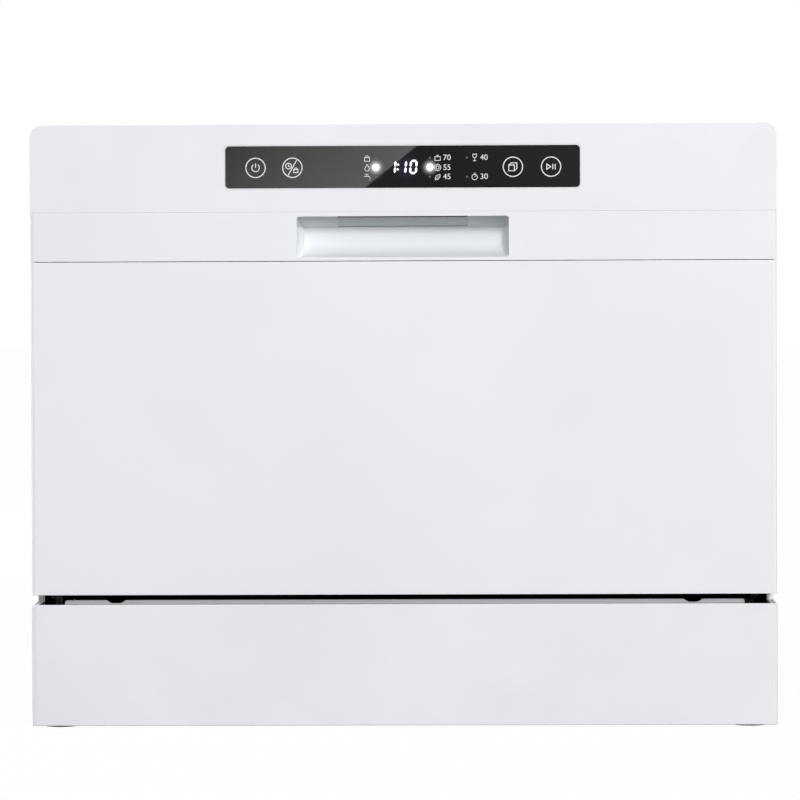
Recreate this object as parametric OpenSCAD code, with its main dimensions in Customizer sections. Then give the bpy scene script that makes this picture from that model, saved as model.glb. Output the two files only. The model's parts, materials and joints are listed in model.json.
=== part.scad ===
// Countertop dishwasher: cabinet, tub, drop-down door, rolling dish basket and the works underneath.
// Millimetres. X runs to the right, Y to the back, Z up.
// The origin is on the floor, under the middle of the body.

/* [Body] */
// Width of the body
body_w = 550; // [520:1:600]
// Depth from the door's face to the back
body_d = 500; // [500:1:540]
// Height from the floor to the lid
body_h = 444; // [444:1:470]
// Radius of the two upper edges, seen from the front
edge_r = 9; // [6:1:10]
// Thickness of the sheet metal
sheet = 1; // [0.8:0.1:1.2]

/* [Front] */
// Lower edge of the door
door_bottom = 98.2; // [98:0.1:100]
// Joint between the door's panel and the handle strip
seam_low = 343.7; // [335:0.1:345]
// Joint between the handle strip and the control panel
seam_high = 379.7; // [378:0.1:381]
// Gap left along each joint
seam_gap = 0.5; // [0.4:0.1:0.8]
// Thickness of the door
door_t = 46; // [46:1:50]
// How much narrower than the plinth the door is, on each side
door_inset = 0.6; // [0:0.1:1]
// Upper edge of the plinth under the door
kick_top = 91; // [88:0.5:91]
// Wall thickness of the plastic front pieces
plastic_t = 2.5; // [2:0.5:3]

/* [Display] */
// Width of the display window
window_w = 262; // [240:1:264]
// Lower edge of the display window
window_z = 396.6; // [394:0.1:400]
// Height of the display window
window_h = 32.4; // [28:0.1:34]
// Corner radius of the display window
window_r = 3.5; // [2:0.5:5]

/* [Handle] */
// Width of the finger scoop
scoop_w = 156; // [120:1:160]
// Lower edge of the finger scoop
scoop_z = 346.5; // [346:0.1:348]
// Height of the finger scoop
scoop_h = 30.1; // [26:0.1:30.5]
// Depth of the finger scoop
scoop_d = 27; // [22:1:30]
// Width of the release paddle in the scoop's roof
paddle_w = 95; // [60:1:100]

/* [Hinge] */
// Distance of the hinge line behind the door's face
hinge_in = 8; // [8:0.5:9]
// Height of the hinge line
hinge_z = 107; // [107:0.5:108]
// Radius of the hinge pins
pin_r = 4; // [3:0.5:4]

/* [Tub] */
// Half of the tub's inner width
tub_half = 235; // [225:1:236]
// Inner face of the tub's back wall
tub_back_y = 214; // [200:1:215]
// Inner face of the tub's roof
tub_top = 418; // [400:1:418]
// Depth of the basin pressed into the tub's floor
basin_d = 9; // [6:1:10]

/* [Basket] */
// Half of the basket's width at its wires
basket_half = 218; // [212:1:218]
// Basket's rear end
basket_back = 196; // [180:1:198]
// Height of the basket's rim
basket_rim = 300; // [280:1:305]
// Radius of the basket's wires
wire_r = 1.6; // [1.4:0.1:1.8]
// Radius of the basket's wheels
wheel_r = 11; // [10:0.5:11]

/* [Hidden] */
$fn = 48;

half_w = body_w / 2;
door_half = half_w - door_inset;
front = -body_d / 2;
back = body_d / 2;
door_back = front + door_t;              // inner plane of the door
cab_front = door_back + 4;               // front plane of the cabinet's flanges
hinge_y = front + hinge_in;
rail_z = hinge_z + door_t - hinge_in;    // the open door's inner plane, level with the tub's rails
panel_back = back - 2.5;                 // rear edge of the side panels
side_top = body_h - 13;                  // joint between the side panels and the lid
bore_gap = 0.05;                         // radial clearance of a running fit
white = [0.91, 0.92, 0.93];
pale = [0.93, 0.94, 0.95];
steel = [0.72, 0.73, 0.74];
zinc = [0.62, 0.64, 0.66];
black = [0.07, 0.07, 0.08];
grey = [0.55, 0.56, 0.58];

// ---- shared shapes ----

// A block from its two corners
module block(a, b) translate(a) cube(b - a);

// Rods along each axis, from one end to the other
module rod_x(x0, x1, y, z, r) translate([x0, y, z]) rotate([0, 90, 0]) cylinder(h = x1 - x0, r = r);
module rod_y(y0, y1, x, z, r) translate([x, y1, z]) rotate([90, 0, 0]) cylinder(h = y1 - y0, r = r);
module rod_z(z0, z1, x, y, r) translate([x, y, z0]) cylinder(h = z1 - z0, r = r);

// A rod between any two points
module rod_to(p, q, r) {
    d = q - p;
    translate(p) rotate([0, acos(d.z / norm(d)), atan2(d.y, d.x)]) cylinder(h = norm(d), r = r);
}

bend_swell = 1.06;                       // a bent wire is a little thicker where it was bent

// A bent wire: rods along the points, with a ball in each bend
module bent_rod(points, r) {
    for (i = [0:len(points) - 2]) rod_to(points[i], points[i + 1], r);
    for (i = [1:len(points) - 2]) translate(points[i]) sphere(r = r * bend_swell);
}

// Direction of a path at one of its points
function path_dir(path, i) = let (
    d = path[min(i + 1, len(path) - 1)][0] - path[max(i - 1, 0)][0]
) d / norm(d);

// Ring of a round section at one point of a path; each path entry is a point and a side direction
function path_ring(path, i, r, sides) = let (
    t = path_dir(path, i),
    side = path[i][1] - (path[i][1] * t) * t,
    s = side / norm(side),
    n = cross(s, t)
) [for (k = [0:sides - 1]) path[i][0] + r * (cos(360 * k / sides) * s + sin(360 * k / sides) * n)];

// One unbroken wire or tube swept along a path
module sweep(path, r, sides) polyhedron(
    points = [for (i = [0:len(path) - 1]) each path_ring(path, i, r, sides)],
    faces = concat(
        [for (i = [0:len(path) - 2], k = [0:sides - 1]) each let (
            a = i * sides + k,
            b = i * sides + (k + 1) % sides
        ) [[a, a + sides, b], [b, a + sides, b + sides]]],
        [for (k = [1:sides - 2]) [0, k, k + 1]],
        [for (k = [1:sides - 2]) let (e = (len(path) - 1) * sides) [e, e + k + 1, e + k]]
    )
);

// A rectangle with round corners, from its lower left corner
module round_rect(w, h, r) {
    translate([r, 0]) square([w - 2 * r, h]);
    translate([0, r]) square([w, h - 2 * r]);
    for (x = [r, w - r], y = [r, h - r]) translate([x, y]) circle(r = r);
}

// A flat outline drawn in X and Z, given depth along Y
module upright(y0, y1) translate([0, y1, 0]) rotate([90, 0, 0]) linear_extrude(y1 - y0) children();

// A flat outline drawn in Y and Z, given width along X
module sideways(x0, x1) translate([x0, 0, 0]) rotate([90, 0, 90]) linear_extrude(x1 - x0) children();

// The body's outline from the front between two heights, with round upper edges
module crown(half, z0, z1, r) {
    translate([-half, z0]) square([2 * half, z1 - z0 - r]);
    translate([-half + r, z0]) square([2 * (half - r), z1 - z0]);
    intersection() {
        translate([-half, z1 - r]) square([2 * half, r]);
        for (x = [-half + r, half - r]) translate([x, z1 - r]) circle(r = r);
    }
}

// The same piece on both sides
module both_sides() {
    children();
    mirror([1, 0, 0]) children();
}

screw_r = 3.6;
screw_h = 1.5;
cross_l = 2.2;
cross_w = 0.4;

// A pan-head screw that points to the front, with a cross slot
module back_screw(x, z, y) difference() {
    rod_y(y, y + screw_h, x, z, screw_r);
    block([x - cross_l, y + screw_h / 2, z - cross_w], [x + cross_l, y + 2, z + cross_w]);
    block([x - cross_w, y + screw_h / 2, z - cross_l], [x + cross_w, y + 2, z + cross_l]);
}

// A quadratic curve between two points
function curve(a, b, c, steps) =
    [for (i = [0:steps]) let (t = i / steps) (1 - t) * (1 - t) * a + 2 * t * (1 - t) * b + t * t * c];

// A smooth path through the middles between a route's points, with its straight ends
function smooth(p, steps) = concat(
    [p[0]],
    [for (i = [1:len(p) - 2]) each curve((p[i - 1] + p[i]) / 2, p[i], (p[i] + p[i + 1]) / 2, steps)],
    [p[len(p) - 1]]
);

// ---- cabinet ----

foot_x = 255;
foot_y = 228;
foot_r = 8.5;
stem_r = 4;
tray_z = 8;
tray_floor = tray_z + 3;
tray_top = 30;
tray_half = 272;
tray_front = -245;
tray_back = 246;
tray_wall = 2.5;
rib_z = tray_z + 2;                      // ribs, saddles and posts grow out of the floor from here
rib_w = 1.5;                             // half of a rib's thickness
post_x = 205;                            // guide post of the leak float
post_y = 60;
guide_r = 3;

// Tabs that the side panels and the plinth are screwed to
module tray_tabs() both_sides() {
    for (y = [-150, 0, 150]) block([tray_half - 1, y - 12, 12], [half_w - sheet, y + 12, 28]);
    for (x = [90, 200]) block([x - 12, front + 3, 12], [x + 12, tray_front + 1, 28]);
}

// Saddles under the wash pump, the drain pump and the heater
module saddles() {
    for (x = [94, 140]) block([x - 2, pump_y - 12, rib_z], [x + 2, pump_y + 12, 40]);
    block([-112, drain_pump_y - 15, rib_z], [-108, drain_pump_y + 15, 36]);
    block([-104, heater_y - 12, rib_z], [-100, heater_y + 12, 42]);
}

// Moulded drip tray that carries the pumps, with a rim, ribs and four foot bosses
module base_tray() color(black) difference() {
    union() {
        difference() {
            block([-tray_half, tray_front, tray_z], [tray_half, tray_back, tray_top]);
            block([-tray_half + tray_wall, tray_front + tray_wall, tray_floor],
                [tray_half - tray_wall, tray_back - tray_wall, tray_top + 1]);
        }
        for (y = [-130, 135]) block([-269, y - rib_w, rib_z], [269, y + rib_w, 22]);
        for (x = [-175, 175]) block([x - rib_w, -243, rib_z], [x + rib_w, 243, 18]);
        for (x = [-foot_x, foot_x], y = [-foot_y, foot_y]) rod_z(tray_z, tray_top + 4, x, y, 9);
        tray_tabs();
        // rear wall
        block([-261, tray_back - tray_wall, 20], [261, panel_back, 36]);
        saddles();
        // anchors of the door springs
        both_sides() {
            block([258, spring_anchor.x - 4, rib_z], [262, spring_anchor.x + 8, 52]);
            rod_x(250.5, 259, spring_anchor.x, spring_anchor.y, 2);
        }
        rod_z(rib_z, tray_top, post_x, post_y, guide_r);
    }
    for (x = [-foot_x, foot_x], y = [-foot_y, foot_y]) rod_z(0, 40, x, y, stem_r + bore_gap);
    // drain slots in the floor
    for (x = [-120:60:120]) block([x - 12, 170, 0], [x + 12, 174, 20]);
}

flange_z = 31;                           // lower end of the sheets' flanges, just over the tray's rim

// Side panel: a folded sheet with a front flange, narrower beside the hinge, and a rear flange
module side_panel() color(white) {
    block([half_w - sheet, cab_front, tray_z + 1], [half_w, panel_back, side_top]);
    block([half_w - 5, cab_front, flange_z], [half_w, cab_front + sheet, side_top]);
    block([mouth_half, cab_front, flange_low], [half_w, cab_front + sheet, side_top]);
    block([half_w - 13, panel_back - sheet, flange_z], [half_w - 0.5, panel_back, side_top]);
}

lid_t = 2;

// Lid with round side edges, open to the front where the tub's flange closes it
module top_cover() color(white) difference() {
    upright(cab_front, back) crown(half_w, side_top, body_h, edge_r);
    upright(cab_front - 1, back - lid_t) crown(half_w - lid_t, side_top - 1, body_h - lid_t, rim_r);
}

valve_x = -205;
valve_z = 62;
drain_x = -140;
drain_z = 52;
cord_x = 200;
cord_z = 50;
cut_y0 = panel_back - 1;                 // cuts through the rear sheet run from here
cut_y1 = panel_back + sheet + 1;         // to here

// Opening in the rear sheet round a water connection
module port_cut(x, z, w, h) upright(cut_y0, cut_y1) translate([x - w / 2, z - h / 2]) round_rect(w, h, 6);

// Rear sheet with vents, the water openings and the cord hole
module back_panel() color(zinc) difference() {
    block([-half_w + sheet, panel_back, flange_z], [half_w - sheet, panel_back + sheet, side_top]);
    port_cut(valve_x, valve_z, 60, 48);
    port_cut(drain_x, drain_z, 44, 42);
    rod_y(cut_y0, cut_y1, cord_x, cord_z, 8);
    for (x = [60:12:144], z = [60, 84]) block([x, cut_y0, z], [x + 5, cut_y1, z + 18]);
}

ledge_half = 251;
ledge_back = front + 11;
dip_x = 213;
dip_r = 10;
kick_front = front + 1;
kick_foot = 1.6;                         // the plinth ends this far above the floor
kick_wall = 2;

// Outline of the plinth from above, drawn in from its faces by a margin
module kick_outline(inset, open) polygon([
    [-half_w + inset, cab_front + open], [-half_w + inset, kick_front + 3 + inset / 2],
    [-half_w + 3 + inset / 2, kick_front + inset], [half_w - 3 - inset / 2, kick_front + inset],
    [half_w - inset, kick_front + 3 + inset / 2], [half_w - inset, cab_front + open]
]);

// Plinth: a folded front with side returns, and a narrow ledge that stands up behind the gap
module kick_plate() color(pale) {
    difference() {
        linear_extrude(kick_top) kick_outline(0, 0);
        translate([0, 0, -1]) linear_extrude(kick_top + 5) kick_outline(kick_wall, 1);
        block([-half_w, front, -1], [half_w, cab_front + 1, kick_foot]);
    }
    block([-ledge_half, kick_front + kick_wall - 0.1, kick_top - 2], [ledge_half, ledge_back, kick_top]);
    difference() {
        upright(ledge_back - 2, ledge_back) translate([-ledge_half, kick_top - 6])
            round_rect(2 * ledge_half, 9, 2);
        for (x = [-dip_x, dip_x]) rod_y(front, front + 20, x, kick_top + dip_r + 0.3, dip_r);
    }
}

// ---- tub ----

flange_low = 133;                        // lower end of the sheets round the mouth
mouth_half = 265;
rim_r = edge_r - lid_t;

// Sides and roof bent from one sheet, with a flange round the mouth
module tub_wrap() color(steel) {
    difference() {
        block([-tub_half - sheet, cab_front, rail_z - sheet],
              [tub_half + sheet, tub_back_y, tub_top + sheet]);
        block([-tub_half, cab_front - 1, rail_z - 2], [tub_half, tub_back_y + 1, tub_top]);
    }
    difference() {
        union() {
            upright(cab_front, cab_front + sheet) crown(half_w - lid_t, side_top, body_h - lid_t, rim_r);
            block([-mouth_half, cab_front, flange_low], [mouth_half, cab_front + sheet, side_top + 0.2]);
        }
        block([-tub_half - 0.5, cab_front - 1, flange_low - 1],
              [tub_half + 0.5, cab_front + 2, tub_top + 0.5]);
    }
}

module tub_back() color(steel) difference() {
    block([-tub_half - sheet, tub_back_y, rail_z - sheet],
          [tub_half + sheet, tub_back_y + sheet, tub_top + sheet]);
    // air gap between the tub and the vent box
    rod_y(tub_back_y - 1, tub_back_y + 2, -190, 300, 9);
}

basin_half = 196;
basin_front = -182;
basin_rear = 196;
arm_y = 8;
filter_y = -92;
basin_z = rail_z - basin_d;

// Outline of the sump from above, grown by a margin
module sump_outline(grow) {
    translate([0, arm_y]) circle(r = 42 + grow);
    translate([0, filter_y]) circle(r = 50 + grow);
    translate([-42 - grow, filter_y]) square([84 + 2 * grow, arm_y - filter_y]);
}

// Tub floor: flat rails at the sides, a pressed basin and a turned-down front edge
module tub_floor() color(steel) difference() {
    union() {
        difference() {
            block([-tub_half, cab_front, rail_z - sheet], [tub_half, tub_back_y, rail_z]);
            translate([-basin_half, basin_front, rail_z - 5]) linear_extrude(10)
                round_rect(2 * basin_half, basin_rear - basin_front, 14);
        }
        difference() {
            translate([-basin_half - sheet, basin_front - sheet, basin_z - sheet])
                linear_extrude(basin_d + sheet)
                    round_rect(2 * (basin_half + sheet), basin_rear - basin_front + 2 * sheet, 15);
            translate([-basin_half, basin_front, basin_z]) linear_extrude(20)
                round_rect(2 * basin_half, basin_rear - basin_front, 14);
        }
        block([-tub_half, cab_front, flange_low], [tub_half, cab_front + sheet, rail_z]);
    }
    translate([0, 0, basin_z - 5]) linear_extrude(10) sump_outline(0);
}

// Rubber lip round the tub's mouth, open along the floor
module tub_gasket() color([0.32, 0.33, 0.34]) difference() {
    upright(door_back + 0.3, cab_front) translate([-tub_half - 11, 120])
        round_rect(2 * (tub_half + 11), tub_top + 9 - 120, 14);
    upright(door_back - 1, cab_front + 1) translate([-tub_half - 2, 110])
        round_rect(2 * (tub_half + 2), tub_top + 1.5 - 110, 6);
    block([-300, door_back - 1, 110], [300, cab_front + 1, rail_z - 4]);
}

sump_floor = 72;
post_r = 7;
arm_z = 149;
arm_h = 11;
cup_r = 33;

// Sump bowl with a flange under the basin, the spray arm's post and the pump ports
module sump() color(grey) {
    difference() {
        union() {
            translate([0, 0, sump_floor]) linear_extrude(basin_z - sheet - sump_floor) sump_outline(2.5);
            translate([0, 0, basin_z - sheet - 3]) linear_extrude(3) sump_outline(9);
        }
        translate([0, 0, sump_floor + 2.5]) linear_extrude(80) sump_outline(0);
        rod_x(30, 60, -40, 96, 9);
        rod_x(-70, -30, filter_y, 90, 8);
    }
    rod_z(sump_floor + 1, arm_z - 1, 0, arm_y, 11);
    rod_z(arm_z - 2, arm_z + arm_h + 0.4, 0, arm_y, post_r);
    rod_z(arm_z + arm_h + 0.3, arm_z + arm_h + 3.5, 0, arm_y, 10.5);
    // seat ring for the filter cup
    difference() {
        rod_z(sump_floor + 2, sump_floor + 8, 0, filter_y, cup_r + 4);
        rod_z(sump_floor + 1, sump_floor + 9, 0, filter_y, cup_r + 0.4);
    }
}

// Perforated plate over the sump
module filter_plate() color(zinc) difference() {
    translate([0, 0, basin_z]) linear_extrude(1.5) sump_outline(14);
    rod_z(basin_z - 1, basin_z + 3, 0, arm_y, 12);
    rod_z(basin_z - 1, basin_z + 3, 0, filter_y, cup_r + 0.5);
    for (x = [-45:15:45], y = [-52:9:-34]) block([x - 5, y, basin_z - 1], [x + 5, y + 4, basin_z + 3]);
    for (a = [0:30:330]) translate([32 * cos(a), arm_y + 32 * sin(a), basin_z - 1]) cylinder(h = 4, r = 2);
}

// Filter cup: a slotted cylinder with a rim and a finger bar
module filter_cup() color(grey) {
    difference() {
        union() {
            rod_z(sump_floor + 2.8, basin_z + 5, 0, filter_y, cup_r);
            rod_z(basin_z + 1.8, basin_z + 4.6, 0, filter_y, cup_r + 5);
        }
        rod_z(sump_floor + 5, basin_z + 8, 0, filter_y, cup_r - 2);
        for (a = [0:30:330]) translate([0, filter_y, 84]) rotate([0, 0, a])
            translate([cup_r - 4, -4, 0]) cube([8, 8, 34]);
    }
    block([-cup_r + 1, filter_y - 3, basin_z - 3], [cup_r - 1, filter_y + 3, basin_z + 4]);
}

blade_l = 172;

// One blade of the spray arm from above, swept back and round at the tip
module blade_outline() {
    translate([0, -13]) square([blade_l - 12, 26]);
    translate([blade_l - 12, -1]) circle(r = 12);
}

// Spray arm: a pair of flat blades with nozzles, on a hub that turns on the post
module spray_arm() color(grey) difference() {
    union() {
        translate([0, arm_y, arm_z]) for (a = [28, 208]) rotate([0, 0, a]) {
            linear_extrude(8) blade_outline();
            translate([20, -6, 7.9]) cube([blade_l - 44, 12, 1.6]);
        }
        rod_z(arm_z - 0.5, arm_z + arm_h, 0, arm_y, 17);
    }
    rod_z(arm_z - 2, arm_z + arm_h + 2, 0, arm_y, post_r + bore_gap);
    translate([0, arm_y, arm_z]) for (a = [28, 208], d = [40, 75, 110, 145]) rotate([0, 0, a])
        translate([d, 0, 5]) rotate([18, 0, 0]) cylinder(h = 10, r = 1.6);
}

// ---- works in the base ----

pump_y = -40;
pump_z = 76;

// Wash pump: a hollow volute on the sump's port, with a finned motor
module wash_pump() color(grey) difference() {
    union() {
        rod_x(62, 84, pump_y, pump_z, 33);
        rod_x(84, 156, pump_y, pump_z, 30);
        rod_x(44.6, 63, pump_y, 96, 8.8);
        for (x = [96:8:148]) rod_x(x, x + 3, pump_y, pump_z, 32);
        rod_x(156, 162, pump_y, pump_z, 14);
        block([92, -52, 40], [142, -28, 50]);
    }
    rod_x(65, 81, pump_y, pump_z, 29);
    rod_x(44, 66, pump_y, 96, 6.5);
    rod_x(60, 100, pump_y, pump_z, 3 + bore_gap);
}

// Impeller: a disc with curved vanes on a short shaft
module wash_impeller() color(black) difference() {
    union() {
        rod_x(77, 80, pump_y, pump_z, 25);
        rod_x(68, 80, pump_y, pump_z, 7);
        rod_x(80, 99, pump_y, pump_z, 3);
        for (a = [0:60:300]) translate([69, pump_y, pump_z]) rotate([a, 0, 0])
            translate([0, 5, 0]) rotate([25, 0, 0]) cube([8.5, 18, 1.8]);
    }
    rod_x(66, 72, pump_y, pump_z, 2);
}

drain_pump_y = -135;
drain_pump_z = 72;
outlet_y = 222;                          // where the drain tube is pushed on the outlet

// Outlet behind the rear opening: a flange and a spigot on a stand
module drain_outlet() difference() {
    union() {
        rod_y(outlet_y, outlet_y + 4, drain_x, drain_z, 15);
        rod_y(outlet_y + 3, back - 0.5, drain_x, drain_z, 10);
        block([drain_x - 12, outlet_y, tray_floor], [drain_x + 12, outlet_y + 4, drain_z]);
    }
    rod_y(outlet_y + 8, back + 1, drain_x, drain_z, 7);
}

// Drain pump: a short motor on a round chamber with two spigots, and the machine's outlet
module drain_pump() color(black) {
    rod_x(-86, -52.6, filter_y, 90, 7.8);
    rod_y(-126, filter_y + 7.8, -86, 90, 7.8);
    rod_x(-96, -80, drain_pump_y, drain_pump_z, 22);
    rod_x(-136, -96, drain_pump_y, drain_pump_z, 19);
    block([-116, drain_pump_y - 12, 36], [-104, drain_pump_y + 12, 56]);
    rod_y(-122, -92, -88, 62, 8);
    drain_outlet();
}

heater_y = 60;
heater_z = 60;
heater_r = 18;

// Flow heater: a steel tube with two end caps and spade terminals
module heater() color(steel) {
    rod_x(-150, -60, heater_y, heater_z, heater_r);
    for (x = [-154, -60]) rod_x(x, x + 4, heater_y, heater_z, heater_r + 2);
    for (y = [heater_y - 8, heater_y + 4]) block([-160, y, heater_z - 4], [-153.5, y + 0.8, heater_z + 4]);
}

// Inlet valve: a body, a coil and the threaded spigot behind the rear opening
module inlet_valve() color(pale) difference() {
    union() {
        block([valve_x - 24, 204, valve_z - 20], [valve_x + 24, 226, valve_z + 20]);
        rod_y(225, back - 0.5, valve_x, valve_z, 13.2);
        rod_z(valve_z + 20, valve_z + 48, valve_x + 8, 214, 11);
        rod_y(186, 205, valve_x - 10, valve_z, 7);
        block([valve_x - 20, 208, tray_floor], [valve_x + 20, 222, valve_z - 19]);
    }
    rod_y(232, back + 1, valve_x, valve_z, 9);
}

// Air break: a flat box with a winding rib, between the tub and the left panel
module air_break() color(pale) difference() {
    union() {
        block([-262, 20, 152], [-240, 180, 330]);
        for (z = [190, 290]) rod_x(-241, -tub_half - sheet, 100, z, 6);
    }
    for (i = [0:3]) block([-263, 32 + 34 * i, 166], [-259.5, 56 + 34 * i, 318]);
}

// Tube from the inlet valve to the air break
inlet_route = [
    [valve_x - 10, 186, valve_z], [valve_x - 10, 150, valve_z], [-250, 140, 76], [-250, 140, 152]
];
module inlet_tube() color([0.8, 0.82, 0.84])
    sweep([for (p = smooth(inlet_route, 6)) [p, [1, 0.3, 0.4]]], 6, 12);

// Drain tube: up from the pump, over, and down to the rear outlet
drain_route = [
    [-88, -92, 62], [-88, 0, 62], [-88, 60, 104], [-120, 130, 104], [drain_x, 190, drain_z],
    [drain_x, outlet_y, drain_z]
];
module drain_tube() color(black) sweep([for (p = smooth(drain_route, 6)) [p, [1, 0.1, 0.1]]], 8, 12);

// Grommet in the rear sheet: two flanges and the cord's bore
module cord_grommet() color(black) difference() {
    union() {
        rod_y(panel_back - 4, panel_back, cord_x, cord_z, 11);
        rod_y(panel_back - 0.1, panel_back + sheet + 0.1, cord_x, cord_z, 8);
        rod_y(panel_back + sheet, panel_back + sheet + 1.4, cord_x, cord_z, 11);
    }
    rod_y(panel_back - 8, panel_back + 8, cord_x, cord_z, 4.2);
}

// Leak float: a foam disc round the guide post
module leak_float() color(white) difference() {
    union() {
        rod_z(tray_floor + 0.2, tray_z + 15, post_x, post_y, 24);
        rod_z(tray_z + 14, tray_z + 30, post_x, post_y, 7);
    }
    rod_z(tray_z, tray_z + 40, post_x, post_y, guide_r + bore_gap);
}

// Switch over the float, on an arm from the tray's rib
module float_switch() color(black) {
    block([192, 53, 46], [218, 67, 58]);
    block([198, 66, 46], [212, 136, 49]);
    block([198, 133.6, 22], [212, 136.4, 49]);
}

// ---- latch ----

bail_y = door_back - 10;
bail_z = body_h - 11;
bail_half = 12;
bail_r = 2.5;
bail_bend = 5;

// Steel bail that the catch holds, on a plate above the gasket
module latch_striker() color(steel) {
    difference() {
        block([-26, cab_front - 1.5, bail_z - 4.5], [26, cab_front, bail_z + 7]);
        for (x = [-21, 21]) rod_y(cab_front - 2, cab_front + 1, x, bail_z + 1, 1.6);
    }
    rod_x(bail_bend - bail_half, bail_half - bail_bend, bail_y, bail_z, bail_r);
    both_sides() {
        rod_y(bail_y + bail_bend, cab_front - 1, bail_half, bail_z, bail_r);
        translate([bail_half - bail_bend, bail_y + bail_bend, bail_z]) rotate([0, 0, -90])
            rotate_extrude(angle = 90) translate([bail_bend, 0]) circle(r = bail_r);
    }
}

catch_y = bail_y - 18;
cheek_in = 17;

// Housing of the catch: two cheeks with bores, a back web and a top plate
module lock_housing() color(black) difference() {
    union() {
        for (x = [-cheek_in - 2, cheek_in])
            block([x, catch_y - 6, 415], [x + 2, door_back - 3, bail_z + 6.8]);
        block([-cheek_in - 2, catch_y - 6, bail_z + 6], [cheek_in + 2, door_back - 13, bail_z + 8.5]);
        block([-cheek_in - 2, catch_y - 6, 415], [-cheek_in, catch_y + 12, bail_z + 7]);
    }
    rod_x(-30, 30, catch_y, bail_z, 2 + bore_gap);
}

tail_z = 411.4;

// Catch: a hook that passes under the bail with its tooth behind it, and a tail for the paddle's riser
module latch_catch() color(zinc) {
    rod_x(-cheek_in - 2, cheek_in + 2, catch_y, bail_z, 2);
    rod_x(-6, 6, catch_y, bail_z, 4.5);
    sideways(-6, 6) polygon([
        [catch_y - 1, bail_z - 4], [catch_y + 2, bail_z - 8.5], [bail_y + 6.4, bail_z - 8.5],
        [bail_y + 6.4, bail_z - 1], [bail_y + 2.9, bail_z + 1], [bail_y + 2.9, bail_z - 2.9],
        [catch_y + 9, bail_z - 2.9], [catch_y + 3, bail_z + 2]
    ]);
    sideways(-5, 5) polygon([
        [catch_y - 4.2, tail_z], [catch_y - 2.2, tail_z], [catch_y - 2.2, tail_z + 9.6],
        [catch_y + 2.5, bail_z - 3], [catch_y - 3.5, bail_z - 1]
    ]);
}

// ---- hinge ----

arm_in = 258.5;
arm_t = 2.5;
spring_hook = [hinge_y + 28, hinge_z - 23];
spring_anchor = [-112, 46];

// Bracket on the tray that reaches into the door's lower corner
module hinge_bracket() color(zinc) difference() {
    union() {
        sideways(arm_in + arm_t + 0.5, arm_in + arm_t + 3) {
            translate([hinge_y, hinge_z]) circle(r = 6.5);
            translate([hinge_y, hinge_z - 6]) square([-150 - hinge_y, 12]);
            translate([-192, 11]) square([42, hinge_z + 6 - 11]);
        }
        block([250, -192, 11], [arm_in + arm_t + 1, -150, 13]);
        block([arm_in + arm_t + 2.5, -186, 20], [269.5, -160, 22.5]);
    }
    rod_x(200, 300, hinge_y, hinge_z, pin_r);
    rod_x(200, 300, -171, 70, 8);
}

// Pins: a plain shank and a head for each side
module hinge_pins() color(steel) both_sides() {
    rod_x(257, arm_in + arm_t + 3.1, hinge_y, hinge_z, pin_r);
    rod_x(arm_in + arm_t + 3, arm_in + arm_t + 4.2, hinge_y, hinge_z, 6);
}

// Arm on the door: a pressed plate from the liner to the pin, with a tail and hook for the spring
module hinge_arm() color(zinc) difference() {
    union() {
        sideways(arm_in, arm_in + arm_t) {
            hull() {
                translate([hinge_y, hinge_z]) circle(r = 6.8);
                translate([door_back - 14, 132]) square([12.5, 20]);
            }
            translate([door_back - 14, 132]) square([12.5, 62]);
            hull() {
                translate([hinge_y, hinge_z]) circle(r = 6.8);
                translate(spring_hook) circle(r = 5);
            }
        }
        block([248, door_back - 2.6, 140], [arm_in + 1, door_back - sheet, 192]);
        rod_x(250.5, arm_in + 1, spring_hook.x, spring_hook.y, 2);
    }
    rod_x(200, 300, hinge_y, hinge_z, pin_r + bore_gap);
    for (z = [150, 182]) rod_y(door_back - 5, door_back + 1, 253, z, 1.6);
}

coil_turns = 18;
coil_steps = 8;
coil_r = 5;
coil_wire = 1;
eye_r = 3.3;
coil_x = 249.5;
coil_end = 14;                           // from each eye's centre to the coil's first turn

spring_len = norm(spring_anchor - spring_hook);
spring_dir = (spring_anchor - spring_hook) / spring_len;

// Places a point given along the spring, across it in X, and across it in the side view
function on_spring(along, x, across) = let (c = spring_hook + along * spring_dir)
    [coil_x + x, c.x - across * spring_dir.y, c.y + across * spring_dir.x];

// Three quarters of an eye round a hook, from the far side round to the spring's line
function eye(along, turn, angles) = [for (a = angles)
    [on_spring(along - turn * eye_r * cos(a), coil_r, eye_r * sin(a)), [1, 0, 0]]];

// The short straight neck between an eye and the coil
function neck(along, across) = [[on_spring(along, coil_r, across), [1, 0, 0]]];

coil_path = [for (i = [0:coil_turns * coil_steps])
    let (u = i / (coil_turns * coil_steps), a = 360 * coil_turns * u)
    [on_spring(coil_end + u * (spring_len - 2 * coil_end), coil_r * cos(a), coil_r * sin(a)),
        on_spring(0, coil_r * cos(a), coil_r * sin(a)) - on_spring(0, 0, 0)]];

spring_path = concat(
    eye(0, 1, [-30:30:240]),
    neck(coil_end - 5, -1.2),
    coil_path,
    neck(spring_len - coil_end + 5, 1.2),
    eye(spring_len, -1, [210:-30:-30])
);

echo(least_gap_between_turns = (spring_len - 2 * coil_end) / coil_turns - 2 * coil_wire);

// Tension spring: one wound wire with an eye at each end
module door_spring() color(zinc) sweep(spring_path, coil_wire, 6);

// Screws of the rear sheet, as one group
module casing_screws() color(zinc) {
    for (x = [-266, 266], z = [60, 170, 280, 400]) back_screw(x, z, panel_back + sheet);
    for (x = [-150, 0, 150]) back_screw(x, 420, panel_back + sheet);
    for (x = [-60, 20]) back_screw(x, 45, panel_back + sheet);
}

// ---- door ----

liner_half = door_half - sheet;
flange_y = front + 34;                   // where the liner's flanges start
outer_back = door_back - 4;              // where the outer pieces end

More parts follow.
